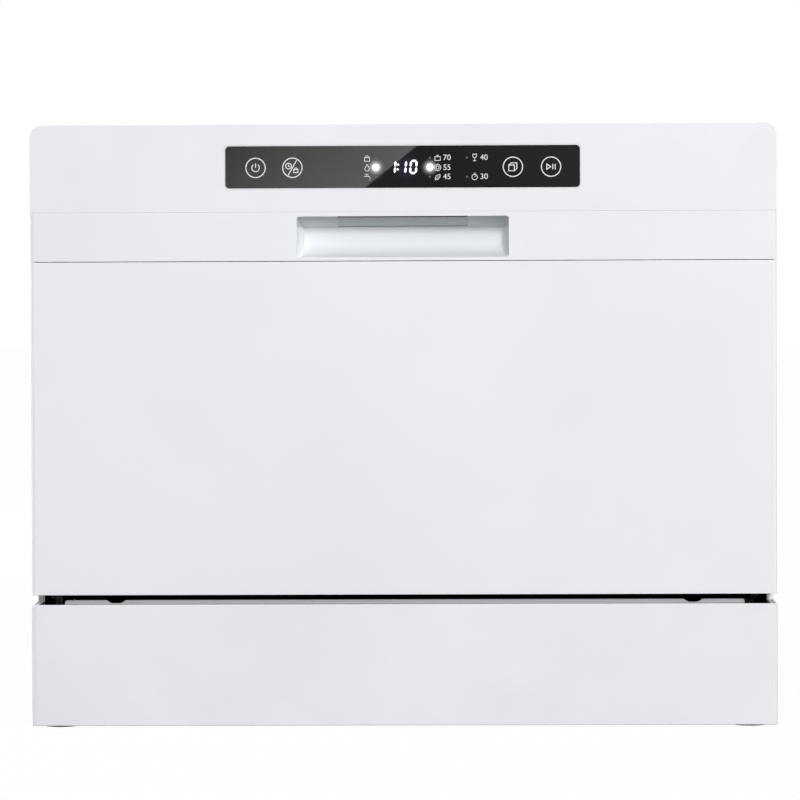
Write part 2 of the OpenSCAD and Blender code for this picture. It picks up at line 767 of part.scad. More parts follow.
// Outer panel: a pan of folded sheet with round vertical edges, notched for the hinges
module door_outer_panel() color(white) {
    translate([0, 0, door_bottom]) linear_extrude(seam_low - seam_gap / 2 - door_bottom) difference() {
        union() {
            translate([-door_half, front]) round_rect(2 * door_half, 12, 3);
            translate([-door_half, front + 6]) square([2 * door_half, outer_back - front - 6]);
        }
        translate([-liner_half, front + sheet]) round_rect(2 * liner_half, 10, 2);
        translate([-liner_half, front + 6]) square([2 * liner_half, outer_back - front]);
    }
    // lower flange between the hinge notches
    block([-247, front + 0.5, door_bottom], [247, outer_back, door_bottom + sheet]);
}

// Inner liner: a stainless pan with pressed beads, an apron, hinge notches and the latch slot
module door_inner_liner() color(steel) difference() {
    union() {
        upright(flange_y, door_back) crown(liner_half, door_bottom + 1.2, body_h - 2.6, edge_r - 1.5);
        block([-247, door_back - sheet, 77], [247, door_back, door_bottom + 2]);
        // pressed border bead
        upright(door_back - 0.1, door_back + 1.4) difference() {
            translate([-192, 160]) round_rect(384, 240, 22);
            translate([-187, 165]) round_rect(374, 230, 17);
        }
    }
    // inside of the pan
    upright(flange_y - 1, door_back - sheet)
        crown(liner_half - sheet, door_bottom - 1, body_h - 2.6 - sheet, edge_r - 2.5);
    // hinge notches
    both_sides() block([247.9, flange_y - 2, 70], [268, door_back + 1, 128]);
    // slot for the bail
    block([-17, door_back - 3, bail_z - 6], [17, door_back + 1, bail_z + 6]);
    // dispenser hole
    upright(door_back - 2, door_back + 1) translate([-72, 224]) round_rect(144, 102, 6);
}

// Control panel: a moulding with a sunk seat for the window and a rebate for the liner's flange
module control_panel() color(pale) difference() {
    upright(front, outer_back) crown(door_half, seam_high + seam_gap / 2, body_h, edge_r);
    upright(front + plastic_t, outer_back + 1)
        crown(door_half - plastic_t, seam_high + 2.4, body_h - plastic_t, edge_r - plastic_t);
    upright(flange_y - 0.5, outer_back + 1)
        crown(liner_half, seam_high - 1, body_h - 2.5, edge_r - 1.4);
    // seat of the window and the light opening behind it
    upright(front - 1, front + 1.4)
        translate([-window_w / 2, window_z]) round_rect(window_w, window_h, window_r);
    upright(front - 1, front + 5) translate([-window_w / 2 + 7, window_z + 5])
        round_rect(window_w - 14, window_h - 10, 2);
    // way for the paddle and its riser
    block([-82, front + plastic_t, seam_high - 1], [82, outer_back + 1, seam_high + 3]);
}

// The scoop's hollow from the side: a roof that falls to the back, and a curved floor
function scoop_points(y0) = concat(
    [[y0, scoop_z + scoop_h], [front, scoop_z + scoop_h]],
    [[front + scoop_d - 5, scoop_z + scoop_h - 7.2]],
    curve([front + scoop_d - 4.4, scoop_z + scoop_h - 8], [front + scoop_d + 6, scoop_z + 3],
        [front, scoop_z], 14),
    [[y0, scoop_z]]
);

scoop_half = scoop_w / 2;
scoop_top = scoop_z + scoop_h;
scoop_draft = 5;                         // how far each end draws in towards the back
scoop_corner = 2;
paddle_y = front + 6;
paddle_z = seam_high + 1.4;
paddle_slot = paddle_w / 2 + 0.25;
paddle_reach = norm([front + scoop_d - 5 - paddle_y, scoop_top - 7.2 - paddle_z]);

// The scoop from above: its ends draw in towards the back, with round inner corners
module scoop_plan(grow) offset(r = 4 + grow) offset(delta = -4) polygon([
    [-scoop_half, front - 14], [-scoop_half, front], [-scoop_half + scoop_draft, front + scoop_d],
    [scoop_half - scoop_draft, front + scoop_d], [scoop_half, front], [scoop_half, front - 14]
]);

// The whole hollow of the scoop
module scoop_hollow() intersection() {
    sideways(-scoop_half - 1, scoop_half + 1) polygon(scoop_points(front - 5));
    translate([0, 0, scoop_z - 1]) linear_extrude(scoop_h + 2) scoop_plan(0);
    upright(front - 6, front + scoop_d + 8) translate([-scoop_half, scoop_z])
        round_rect(scoop_w, scoop_h, scoop_corner);
}

// Handle strip: a moulding with the finger scoop, whose roof is open for the paddle
module handle_strip() color(pale) difference() {
    union() {
        difference() {
            translate([0, 0, seam_low + seam_gap / 2])
                linear_extrude(seam_high - seam_low - seam_gap) union() {
                    translate([-door_half, front]) round_rect(2 * door_half, 12, 3);
                    translate([-door_half, front + 6]) square([2 * door_half, outer_back - front - 6]);
                }
            block([-door_half + plastic_t, front + plastic_t, seam_low + 2.4],
                [door_half - plastic_t, outer_back + 1, seam_high - 2.4]);
            block([-liner_half, flange_y - 0.5, seam_low - 1], [liner_half, outer_back + 1, seam_high + 1]);
            // the paddle's riser passes through the upper wall
            block([-60, front + plastic_t + 0.5, seam_high - 3], [60, flange_y, seam_high + 1]);
        }
        // shell of the scoop, two millimetres thick
        difference() {
            intersection() {
                sideways(-scoop_half - 2, scoop_half + 2) offset(r = 2) polygon(scoop_points(front - 5));
                translate([0, 0, scoop_z - 4]) linear_extrude(scoop_h + 8) scoop_plan(2);
            }
            block([-100, front - 20, 300], [100, front + 0.2, 400]);
            block([-100, front - 20, seam_high - seam_gap / 2], [100, 0, 400]);
        }
        // ears for the paddle's trunnions
        for (x = [-paddle_slot - 4.5, paddle_slot + 1.5]) {
            block([x, front + 2, seam_high - 5], [x + 3, paddle_y + 4, seam_high - 0.6]);
            block([x, front + 2.8, seam_high - 1], [x + 3, paddle_y + 4, paddle_z + 4]);
        }
    }
    scoop_hollow();
    // opening for the paddle in the scoop's roof, round behind where the paddle's edge swings
    sideways(-paddle_slot, paddle_slot) intersection() {
        translate([front + 2.6, scoop_top - 10]) square([30, paddle_z + 18 - scoop_top]);
        translate([paddle_y, paddle_z]) circle(r = paddle_reach);
    }
    block([-paddle_slot, front - 1, scoop_top - 2], [paddle_slot, front + 3, scoop_top]);
    rod_x(-60, 60, paddle_y, paddle_z, 2 + bore_gap);
}

// Release paddle: a plate in the scoop's roof on two trunnions, with a riser for the catch
module release_paddle() color(pale) {
    sideways(-paddle_w / 2, paddle_w / 2) polygon([
        [front + 3, scoop_top - 0.8], [front + scoop_d - 5.2, scoop_top - 6.7],
        [front + scoop_d - 3.6, scoop_top - 3.7], [front + 9, paddle_z - 0.5],
        [front + 4, paddle_z + 0.4], [front + 4, scoop_top + 3], [front + 7.5, scoop_top + 1.6]
    ]);
    rod_x(-paddle_slot - 4.5, paddle_slot + 4.5, paddle_y, paddle_z, 2);
    sideways(-8, 8) polygon([
        [front + 7, paddle_z - 3], [front + 19.5, paddle_z - 7], [front + 20.6, paddle_z + 4],
        [front + 18.9, tail_z + 1.5], [front + 16.9, tail_z + 1.5], [front + 16.9, paddle_z + 8],
        [front + 7, paddle_z + 1]
    ]);
}

// Display window: a flush pane
module display_window() color(black)
    upright(front + 0.05, front + 1.4) translate([-window_w / 2 + 0.15, window_z + 0.15])
        round_rect(window_w - 0.3, window_h - 0.3, window_r - 0.15);

// Control board: a board on four pegs, a row of lamps, a screen block and two chips
module control_board() color([0.1, 0.35, 0.2]) {
    block([-118, front + 4, window_z + 1], [118, front + 5.6, window_z + window_h - 1]);
    block([-8, front + 1.6, window_z + 7], [18, front + 4.1, window_z + 26]);
    for (x = [-110:20:-30]) rod_y(front + 1.6, front + 4.1, x, window_z + 16, 2.5);
    for (x = [40:20:100]) rod_y(front + 1.6, front + 4.1, x, window_z + 16, 2.5);
    for (x = [-70, 62]) block([x - 7, front + 5.5, window_z + 9], [x + 7, front + 7.5, window_z + 23]);
    for (x = [-110, 110]) rod_y(front + plastic_t, front + 4.1, x, window_z + 2.8, 1.4);
}

cup_x0 = -60;
cup_x1 = 8;
lid_y = door_back + 4;

// Detergent dispenser: a moulded block with a cup, a flange, lid guides and the cap's seat
module dispenser_body() color(grey) difference() {
    union() {
        upright(door_back - 27, door_back + 0.1) translate([-70, 226]) round_rect(140, 98, 5);
        upright(door_back, lid_y) translate([-77, 219]) round_rect(154, 112, 9);
        for (z = [234.5, 312.5]) block([-66, lid_y - 0.1, z], [14, lid_y + 3.4, z + 3]);
    }
    upright(door_back - 21, lid_y + 1) translate([cup_x0, 244]) round_rect(cup_x1 - cup_x0, 62, 8);
    rod_y(door_back - 15, lid_y + 1, 43, 275, 10 + bore_gap);
}

// Sliding lid of the detergent cup
module dispenser_lid() color(grey) {
    upright(lid_y + 0.3, lid_y + 2.6) translate([cup_x0 - 5, 238]) round_rect(cup_x1 - cup_x0 + 10, 74, 5);
    block([cup_x1 - 6, lid_y + 2.5, 250], [cup_x1 - 2, lid_y + 5, 300]);
}

// Rinse-aid cap: a knurled disc with a bar and a plug
module rinse_aid_cap() color(black) difference() {
    union() {
        rod_y(lid_y + 0.3, lid_y + 3.4, 43, 275, 15);
        rod_y(door_back - 6, lid_y + 0.5, 43, 275, 10);
        block([31, lid_y + 3.3, 273], [55, lid_y + 5.5, 277]);
    }
    for (a = [0:30:330]) translate([43 + 15.6 * cos(a), 0, 275 + 15.6 * sin(a)])
        rod_y(lid_y, lid_y + 4, 0, 0, 1.3);
}

// Screws round the liner, as one group
module door_screws() color(zinc) both_sides() {
    for (z = [160, 260, 360, 425]) rod_y(door_back, door_back + 1.6, 267, z, 3.2);
}

// ---- basket ----

floor_wire = rail_z + 27;                // centre of the wires that run front to back
cross_wire = floor_wire + 2 * wire_r - 0.3;
slope_foot = -152;
slope_head = -172;
slope_z = 206;
rack_top = cross_wire + wire_r;
wheel_z = rail_z + 0.4 + wheel_r;
wheel_x = 206;
wheel_w = 8;
wheel_front = -84;
wheel_rear = 160;
axle_r = 3;
long_step = 31;
cross_ys = [-140, -100, -60, -20, 20, 60, 100, 140, 180];

rail_wire_x = basket_half - 14.5;        // the outer long wires, which carry the wheels
rail_wire_r = wire_r + 0.2;
clip_gap = 0.02;

// Hanger of one wheel: a clip round the outer long wire, a plate and a stub axle
module wheel_hanger(y) difference() {
    union() {
        block([wheel_x - 5.2, y - 9, floor_wire - 3], [wheel_x + 0.2, y + 9, floor_wire + 3]);
        block([wheel_x - 4, y - 9, wheel_z - 5], [wheel_x - 1.5, y + 9, floor_wire - 2]);
        rod_x(wheel_x - 2, wheel_x + wheel_w + 0.5, y, wheel_z, axle_r);
        rod_x(wheel_x + wheel_w + 0.4, wheel_x + wheel_w + 2, y, wheel_z, 5);
    }
    rod_y(y - 12, y + 12, rail_wire_x, floor_wire, rail_wire_r + clip_gap);
}

// Welded floor of long and cross wires, with four wheel hangers clipped on
module basket_floor() color(grey) {
    for (i = [-6:6]) rod_y(slope_foot, basket_back, i * long_step, floor_wire, wire_r);
    both_sides() rod_y(slope_foot, basket_back, rail_wire_x, floor_wire, rail_wire_r);
    for (y = cross_ys) rod_x(-basket_half + wire_r, basket_half - wire_r, y, cross_wire, wire_r);
    both_sides() for (y = [wheel_front, wheel_rear]) wheel_hanger(y);
}

wall_zs = [208, 245];

// Side wall: uprights from the floor to the rim, with two long wires
module side_wall() {
    for (y = cross_ys) rod_z(floor_wire, basket_rim, basket_half, y, wire_r);
    for (z = wall_zs) rod_y(slope_head + 0.4, basket_back - 2, basket_half + 2 * wire_r - 0.3, z, wire_r);
    rod_y(slope_head + 0.4, basket_back - 2, basket_half, basket_rim, 2.4);
}

// Front wall: each upright leans forward over the sloped foot, then stands up
module front_wall() {
    for (x = [-186:31:186]) bent_rod([
        [x, slope_foot - 1.4, floor_wire - 0.4], [x, slope_head, slope_z], [x, slope_head, basket_rim]
    ], wire_r);
    rod_x(-basket_half + 2.5, basket_half - 2.5, slope_head, basket_rim, 2.4);
    rod_x(-basket_half + 2.5, basket_half - 2.5, slope_head - 2 * wire_r + 0.3, 245, wire_r);
}

// Rear wall: straight uprights
module rear_wall() {
    for (x = [-186:31:186]) rod_z(floor_wire + 1.7, basket_rim, x, basket_back - 1.2, wire_r);
    rod_x(-basket_half + 2.5, basket_half - 2.5, basket_back - 1.2, basket_rim, 2.4);
    for (z = wall_zs)
        rod_x(-basket_half + 2, basket_half - 2, basket_back - 1.2 - 2 * wire_r + 0.3, z, wire_r);
}

shelf_z = 252;
shelf_x = -basket_half + 5.2;

// Rod on the left wall that carries the cup shelf
module shelf_rod() {
    rod_y(-128, 112, shelf_x, shelf_z, wire_r);
    rod_y(slope_head + 6, basket_back - 6, -basket_half, shelf_z, wire_r);
    for (y = [-126.4, 110.4]) rod_x(-basket_half, shelf_x, y, shelf_z, wire_r);
}

module basket_walls() color(grey) {
    both_sides() side_wall();
    shelf_rod();
    front_wall();
    rear_wall();
}

tine_h = 72;
tine_xs = [-122:31:95];
tine_ys = [-60, 20, 100];

// One plate tine with a round tip
module tine(x, y) translate([x, y, rack_top - 0.1]) rotate_extrude() {
    square([wire_r, tine_h]);
    intersection() {
        translate([0, tine_h]) circle(r = wire_r);
        translate([0, tine_h - 0.1]) square([wire_r, wire_r + 1]);
    }
}

module plate_tines() color(grey) for (x = tine_xs, y = tine_ys) tine(x, y);

shelf_w = 68;

// Cup shelf: a wire rack with two eyes that turn on the left wall's shelf rod
module cup_shelf() color(grey) difference() {
    union() {
        for (y = [-118, 98]) rod_y(y - 5, y + 5, shelf_x, shelf_z, 3.4);
        for (d = [24, 46, shelf_w]) rod_y(-120, 100, shelf_x + d, shelf_z - 2 * wire_r + 0.3, wire_r);
        for (y = [-118, -64, -10, 44, 98])
            rod_x(shelf_x + (abs(y + 10) > 100 ? 2.5 : 23), shelf_x + shelf_w, y, shelf_z, wire_r);
    }
    rod_y(-130, 110, shelf_x, shelf_z, wire_r + bore_gap);
}

cutlery_x0 = 126;
cutlery_x1 = 206;
cutlery_y0 = -70;
cutlery_y1 = 150;
cutlery_h = 96;

cell_step = 54.5;                        // from one compartment to the next
slot_step = 9.5;
handle_in = 34;                          // the handle's ends, in from the basket's sides

// Cutlery basket: a slotted box in four compartments with a bar handle
module cutlery_basket() color(grey) {
    difference() {
        translate([cutlery_x0, cutlery_y0, rack_top + 0.1]) linear_extrude(cutlery_h)
            round_rect(cutlery_x1 - cutlery_x0, cutlery_y1 - cutlery_y0, 6);
        for (i = [0:3]) translate([cutlery_x0 + 2, cutlery_y0 + 2 + i * cell_step, rack_top + 2.1])
            cube([76, cell_step - 2, cutlery_h]);
        // slots in the walls, in two rows
        for (z = [rack_top + 14, rack_top + 50]) {
            for (y = [cutlery_y0 + 10:slot_step:cutlery_y1 - 10])
                block([cutlery_x0 - 1, y, z], [cutlery_x1 + 1, y + 5, z + 28]);
            for (x = [cutlery_x0 + 12:slot_step:cutlery_x1 - 12])
                block([x, cutlery_y0 - 1, z], [x + 5, cutlery_y1 + 1, z + 28]);
        }
        // drain holes in the floor
        for (x = [cutlery_x0 + 10:12:cutlery_x1 - 12], y = [cutlery_y0 + 9:12:cutlery_y1 - 12])
            block([x, y, rack_top - 1], [x + 6, y + 6, rack_top + 4]);
    }
    for (y = [cutlery_y0 + 0.2, cutlery_y1 - 2.2])
        block([cutlery_x0 + handle_in, y, rack_top + cutlery_h],
              [cutlery_x1 - handle_in, y + 2, basket_rim + 14]);
    block([cutlery_x0 + handle_in, cutlery_y0 + 0.2, basket_rim + 13],
        [cutlery_x1 - handle_in, cutlery_y1 - 0.2, basket_rim + 19]);
}

// Basket wheel: hub, thin web and rim turned in one piece
module basket_wheel(side, y) color(grey) translate([side * wheel_x, y, wheel_z]) rotate([0, side * 90, 0])
    rotate_extrude() difference() {
        translate([axle_r + bore_gap, 0]) square([wheel_r - axle_r - bore_gap, wheel_w]);
        translate([5.4, -0.1]) square([3, 2.6]);
        translate([5.4, wheel_w - 2.5]) square([3, 2.6]);
    }

// Levelling foot: a pad with a chamfer and a screwed stem
module foot(x, y) color(black) translate([x, y, 0]) {
    cylinder(h = 1.2, r1 = foot_r - 0.8, r2 = foot_r);
    translate([0, 0, 1.1]) cylinder(h = 6.5, r = foot_r);
    cylinder(h = 30, r = stem_r);
}

base_tray();
mirror([1, 0, 0]) side_panel();  // left_side_panel
side_panel();  // right_side_panel
top_cover();
back_panel();
kick_plate();
tub_wrap();
tub_back();
tub_floor();
tub_gasket();
sump();
filter_plate();
filter_cup();
wash_pump();
wash_impeller();
drain_pump();
heater();
inlet_valve();
air_break();
inlet_tube();
drain_tube();
cord_grommet();
float_switch();
leak_float();
latch_striker();
mirror([1, 0, 0]) hinge_bracket();  // left_hinge_bracket
hinge_bracket();  // right_hinge_bracket
hinge_pins();
mirror([1, 0, 0]) door_spring();  // left_door_spring
door_spring();  // right_door_spring
casing_screws();
door_outer_panel();
door_inner_liner();
control_panel();
handle_strip();
display_window();
control_board();
lock_housing();
dispenser_body();
dispenser_lid();
rinse_aid_cap();
mirror([1, 0, 0]) hinge_arm();  // left_hinge_arm
hinge_arm();  // right_hinge_arm
door_screws();
release_paddle();
latch_catch();
spray_arm();
basket_floor();
basket_walls();
plate_tines();
cup_shelf();
cutlery_basket();
basket_wheel(-1, wheel_front);  // wheel_front_left
basket_wheel(1, wheel_front);  // wheel_front_right
basket_wheel(-1, wheel_rear);  // wheel_rear_left
basket_wheel(1, wheel_rear);  // wheel_rear_right
foot(-foot_x, -foot_y);  // foot_front_left
foot(foot_x, -foot_y);  // foot_front_right
foot(-foot_x, foot_y);  // foot_rear_left
foot(foot_x, foot_y);  // foot_rear_right
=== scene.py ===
# %% [markdown]
# # A countertop dishwasher
#
# This notebook dresses a small dishwasher that stands on a worktop. Its solids come ready from the
# workshop as a fixed frame: every piece is in its place and rides on its body, the door included.
# What is left for Blender is how things look: softened edges, the finish of plastic, paint, steel,
# rubber and coated wire, what is printed and lit on the display, and the studio around it all.

import json
import math

import bmesh
import bpy
from mathutils import Matrix, Vector


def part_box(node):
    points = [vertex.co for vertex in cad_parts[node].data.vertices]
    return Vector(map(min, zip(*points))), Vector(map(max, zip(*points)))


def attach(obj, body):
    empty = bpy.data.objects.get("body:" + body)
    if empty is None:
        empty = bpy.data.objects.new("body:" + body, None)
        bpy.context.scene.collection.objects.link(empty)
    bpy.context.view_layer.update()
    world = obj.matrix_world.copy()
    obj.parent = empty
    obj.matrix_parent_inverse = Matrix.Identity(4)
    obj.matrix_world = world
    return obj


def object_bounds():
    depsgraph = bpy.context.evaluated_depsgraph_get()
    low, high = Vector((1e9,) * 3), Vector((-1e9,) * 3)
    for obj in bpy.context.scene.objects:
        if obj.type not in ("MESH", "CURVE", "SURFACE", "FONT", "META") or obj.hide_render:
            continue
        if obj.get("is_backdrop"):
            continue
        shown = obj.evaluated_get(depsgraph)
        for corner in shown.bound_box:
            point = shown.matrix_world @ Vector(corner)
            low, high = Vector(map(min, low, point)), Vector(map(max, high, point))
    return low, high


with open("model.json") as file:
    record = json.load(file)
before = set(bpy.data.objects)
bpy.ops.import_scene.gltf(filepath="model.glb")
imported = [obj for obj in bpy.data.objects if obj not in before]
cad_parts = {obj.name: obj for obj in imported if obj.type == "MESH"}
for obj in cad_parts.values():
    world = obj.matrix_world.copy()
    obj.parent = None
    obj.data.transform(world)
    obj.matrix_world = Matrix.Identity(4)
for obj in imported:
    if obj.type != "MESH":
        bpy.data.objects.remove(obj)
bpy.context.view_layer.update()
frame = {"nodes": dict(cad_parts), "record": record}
nodes = frame["nodes"]
slot_of = {part["node"]: part["material_slot"] for part in frame["record"]["subparts"]}
MM = 0.001

# %% [markdown]
# ## The camera
#
# The machine was taken from straight in front with a long lens, about three metres away. A long lens
# keeps the upright edges almost parallel, as a product picture wants them. The camera stands a little
# to the right of the middle, looks very slightly down and is turned by a hair, so each of the three
# turns has a name of its own.

# %% Camera
DOOR_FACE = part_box("door_outer_panel")[0].y
SHOOTING_DISTANCE = 3.0
CAMERA_PLACE = Vector((0.0508, DOOR_FACE - SHOOTING_DISTANCE, 0.3027))
CAMERA_TILT, CAMERA_PAN, CAMERA_ROLL = -1.170, 1.017, -0.216   # degrees
LENS = 183.65

camera_data = bpy.data.cameras.new("camera")
camera_data.lens = LENS
camera = bpy.data.objects.new("camera", camera_data)
bpy.context.scene.collection.objects.link(camera)
upright = Matrix.Rotation(math.radians(90 + CAMERA_TILT), 4, "X")
pan = Matrix.Rotation(math.radians(CAMERA_PAN), 4, "Z")
roll = Matrix.Rotation(math.radians(CAMERA_ROLL), 4, "Z")
camera.matrix_world = Matrix.Translation(CAMERA_PLACE) @ pan @ upright @ roll
bpy.context.scene.camera = camera
print("camera", [round(v, 3) for v in camera.matrix_world.translation])

# %% [markdown]
# ## Studio light
#
# White goods need very even light, or their faces turn grey. A pale sky does much of the work here.
# The key lamp stands behind the camera, high up and a little to the right. The side lamp grazes the
# front from the right: it brightens the left wall of the finger scoop and leaves the right one in
# shade. The rim lamp stands on the left behind the front's own plane, so it reaches the edges that
# face left and nothing of the front. The back lamp is for views from behind. The last one stands
# beside the camera: the display window is a black mirror, and this lamp is the paler field with the
# slanted edge that it shows. Its brightness falls off from one side of the field to the other.

# %% Lamps
def soft_lamp(name, place, aim, side, watts, turn=0.0):
    """A square lamp at a place, facing a point, turned about its own line of sight."""
    data = bpy.data.lights.new(name, "AREA")
    data.shape, data.size, data.size_y, data.energy = "RECTANGLE", side, side, watts
    lamp = bpy.data.objects.new(name, data)
    facing = (Vector(aim) - Vector(place)).to_track_quat("-Z", "Y").to_matrix().to_4x4()
    lamp.matrix_world = Matrix.Translation(place) @ facing @ Matrix.Rotation(math.radians(turn), 4, "Z")
    lamp.visible_camera = False
    bpy.context.scene.collection.objects.link(lamp)
    return lamp


BODY_MIDDLE = (0.0, 0.0, 0.22)
LAMPS = (                                    # name, place and side in metres, and watts
    ("key_lamp", (1.25, -5.95, 2.75), 0.9, 234),
    ("side_lamp", (3.2, -1.1, 0.55), 1.0, 16),
    ("rim_lamp", (-2.8, 0.4, 0.55), 1.2, 26),
    ("back_lamp", (-1.2, 2.9, 1.1), 1.6, 22),
)
for name, place, side, watts in LAMPS:
    soft_lamp(name, place, BODY_MIDDLE, side, watts)

MIRRORED_EDGE = Vector((-0.070, 0.5215))     # a point on the field's slanted edge, in X and Z
EDGE_SLOPE = 39.0                            # degrees from level
FIELD_SIDE = 0.56
FIELD_WATTS = 6.0
FIELD_FADE = (("From Min", 0.0), ("From Max", 0.36), ("To Min", 1.2), ("To Max", 0.26))
across = Vector((-math.sin(math.radians(EDGE_SLOPE)), math.cos(math.radians(EDGE_SLOPE))))
field = MIRRORED_EDGE + across * FIELD_SIDE / 2
mirror_lamp = soft_lamp("mirror_lamp", (field.x, CAMERA_PLACE.y, field.y),
                        (field.x, 0.0, field.y), FIELD_SIDE, FIELD_WATTS, turn=EDGE_SLOPE)
field_light = mirror_lamp.data
field_light.use_nodes = True
tree = field_light.node_tree
emission = tree.nodes["Emission"]
spot = tree.nodes.new("ShaderNodeNewGeometry")
split = tree.nodes.new("ShaderNodeSeparateXYZ")
fade = tree.nodes.new("ShaderNodeMapRange")
for socket, amount in FIELD_FADE:
    fade.inputs[socket].default_value = amount
tree.links.new(spot.outputs["Parametric"], split.inputs[0])
tree.links.new(split.outputs["Y"], fade.inputs["Value"])
tree.links.new(fade.outputs["Result"], emission.inputs["Strength"])

# %% [markdown]
# ## Floor and background
#
# The background is plain white. Making it white with more light would bleach the machine, so the
# Light Path node does it: a ray that comes straight from the camera, or from a mirror or a glass,
# finds white, and a ray that carries light on to the machine finds the sky's own level. The floor
# takes part of its colour that way too and keeps a share of real shade, which grounds the feet.

# %% Floor and world
SKY_LEVEL = 0.50
SKY_COLOUR = (0.97, 0.985, 1.0, 1.0)
WHITE = (1.0, 1.0, 1.0, 1.0)
FLOOR_WHITE = 0.96                           # share of the floor that is plain white to the eye
FLOOR_SEEN = (0.95, 0.95, 0.95, 1.0)         # colour of the rest of it, to the eye
FLOOR_TONE = (0.16, 0.16, 0.16, 1.0)         # how much light the floor throws back up


def seen_directly(tree):
    """1 for a ray from the camera, a mirror or a glass, and 0 for any other."""
    path = tree.nodes.new("ShaderNodeLightPath")
    total = path.outputs["Is Camera Ray"]
    for name in ("Is Glossy Ray", "Is Transmission Ray"):
        larger = tree.nodes.new("ShaderNodeMath")
        larger.operation = "MAXIMUM"
        tree.links.new(total, larger.inputs[0])
        tree.links.new(path.outputs[name], larger.inputs[1])
        total = larger.outputs[0]
    return total


world = bpy.data.worlds.new("studio")
world.use_nodes = True
bpy.context.scene.world = world
tree = world.node_tree
sky = tree.nodes["Background"]
sky.inputs["Strength"].default_value = SKY_LEVEL
sky.inputs["Color"].default_value = SKY_COLOUR
backdrop = tree.nodes.new("ShaderNodeBackground")
backdrop.inputs["Color"].default_value = WHITE
chooser = tree.nodes.new("ShaderNodeMixShader")
tree.links.new(seen_directly(tree), chooser.inputs[0])
tree.links.new(sky.outputs[0], chooser.inputs[1])
tree.links.new(backdrop.outputs[0], chooser.inputs[2])
tree.links.new(chooser.outputs[0], tree.nodes["World Output"].inputs["Surface"])

FLOOR_REACH = 40.0
floor_mesh = bpy.data.meshes.new("floor")
SQUARE = (-1, -1), (1, -1), (1, 1), (-1, 1)
floor_mesh.from_pydata([(x * FLOOR_REACH, y * FLOOR_REACH, 0) for x, y in SQUARE], [], [(0, 1, 2, 3)])
floor = bpy.data.objects.new("floor", floor_mesh)
bpy.context.scene.collection.objects.link(floor)
floor_paint = bpy.data.materials.new("floor_paint")
floor_paint.use_nodes = True
tree = floor_paint.node_tree
tree.nodes.remove(tree.nodes["Principled BSDF"])
matt = tree.nodes.new("ShaderNodeBsdfDiffuse")
tone = tree.nodes.new("ShaderNodeMixRGB")
tone.inputs["Color1"].default_value = FLOOR_TONE
tone.inputs["Color2"].default_value = FLOOR_SEEN
tree.links.new(seen_directly(tree), tone.inputs["Fac"])
tree.links.new(tone.outputs["Color"], matt.inputs["Color"])
plain_white = tree.nodes.new("ShaderNodeEmission")
share = tree.nodes.new("ShaderNodeMath")
share.operation = "MULTIPLY"
share.inputs[1].default_value = FLOOR_WHITE
chooser = tree.nodes.new("ShaderNodeMixShader")
tree.links.new(seen_directly(tree), share.inputs[0])
tree.links.new(share.outputs[0], chooser.inputs[0])
tree.links.new(matt.outputs[0], chooser.inputs[1])
tree.links.new(plain_white.outputs[0], chooser.inputs[2])
tree.links.new(chooser.outputs[0], tree.nodes["Material Output"].inputs["Surface"])
floor_mesh.materials.append(floor_paint)
floor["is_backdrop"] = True
bpy.context.scene.view_settings.view_transform = "Standard"
print("sky at", SKY_LEVEL, "and floor in place")

# %% [markdown]
# ## A small kit for finishes
#
# Every finish below is the same recipe with other amounts: a shader whose constant values sit on its
# own sockets, a noise in the object's own metres that shifts the colour a little, a second one that
# makes some spots duller than others, and a relief that the light can catch. Four helpers hold the
# recipe, so that each finish reads as a short list of what makes it different.

# %% Finish helpers
def on_screen(red, green, blue):
    """A colour as it looks, 0 to 255, turned into the linear colour that a shader takes."""
    def linear(c):
        c /= 255
        return c / 12.92 if c <= 0.04045 else ((c + 0.055) / 1.055) ** 2.4
    return (linear(red), linear(green), linear(blue), 1.0)


def new_finish(name, **sockets):
    """A material and its shader, with constant values on the shader's own sockets."""
    made = bpy.data.materials.new(name)
    made.use_nodes = True
    shader = made.node_tree.nodes["Principled BSDF"]
    for socket, value in sockets.items():
        shader.inputs[socket.replace("_", " ")].default_value = value
    return made, shader


def pattern(made, kind, scale, stretch=(1, 1, 1), **sockets):
    """A texture in the object's own metres. Stretch squeezes it along an axis."""
    tree = made.node_tree
    place = tree.nodes.new("ShaderNodeTexCoord")
    squeeze = tree.nodes.new("ShaderNodeMapping")
    squeeze.inputs["Scale"].default_value = stretch
    texture = tree.nodes.new("ShaderNodeTex" + kind)
    texture.inputs["Scale"].default_value = scale
    for socket, value in sockets.items():
        texture.inputs[socket].default_value = value
    tree.links.new(place.outputs["Object"], squeeze.inputs["Vector"])
    tree.links.new(squeeze.outputs["Vector"], texture.inputs["Vector"])
    return texture


def colour_between(made, shader, value, dark, light, low=0.35, high=0.65):
    """The value of a texture picks a colour between two."""
    ramp = made.node_tree.nodes.new("ShaderNodeValToRGB")
    ramp.color_ramp.elements[0].position, ramp.color_ramp.elements[0].color = low, dark
    ramp.color_ramp.elements[1].position, ramp.color_ramp.elements[1].color = high, light
    made.node_tree.links.new(value, ramp.inputs["Fac"])
    made.node_tree.links.new(ramp.outputs["Color"], shader.inputs["Base Color"])


def roughness_between(made, shader, value, smooth, rough):
    """The value of a texture picks a roughness between two."""
    ramp = made.node_tree.nodes.new("ShaderNodeMapRange")
    for socket, amount in (("From Min", 0.3), ("From Max", 0.7), ("To Min", smooth), ("To Max", rough)):
        ramp.inputs[socket].default_value = amount
    made.node_tree.links.new(value, ramp.inputs["Value"])
    made.node_tree.links.new(ramp.outputs["Result"], shader.inputs["Roughness"])


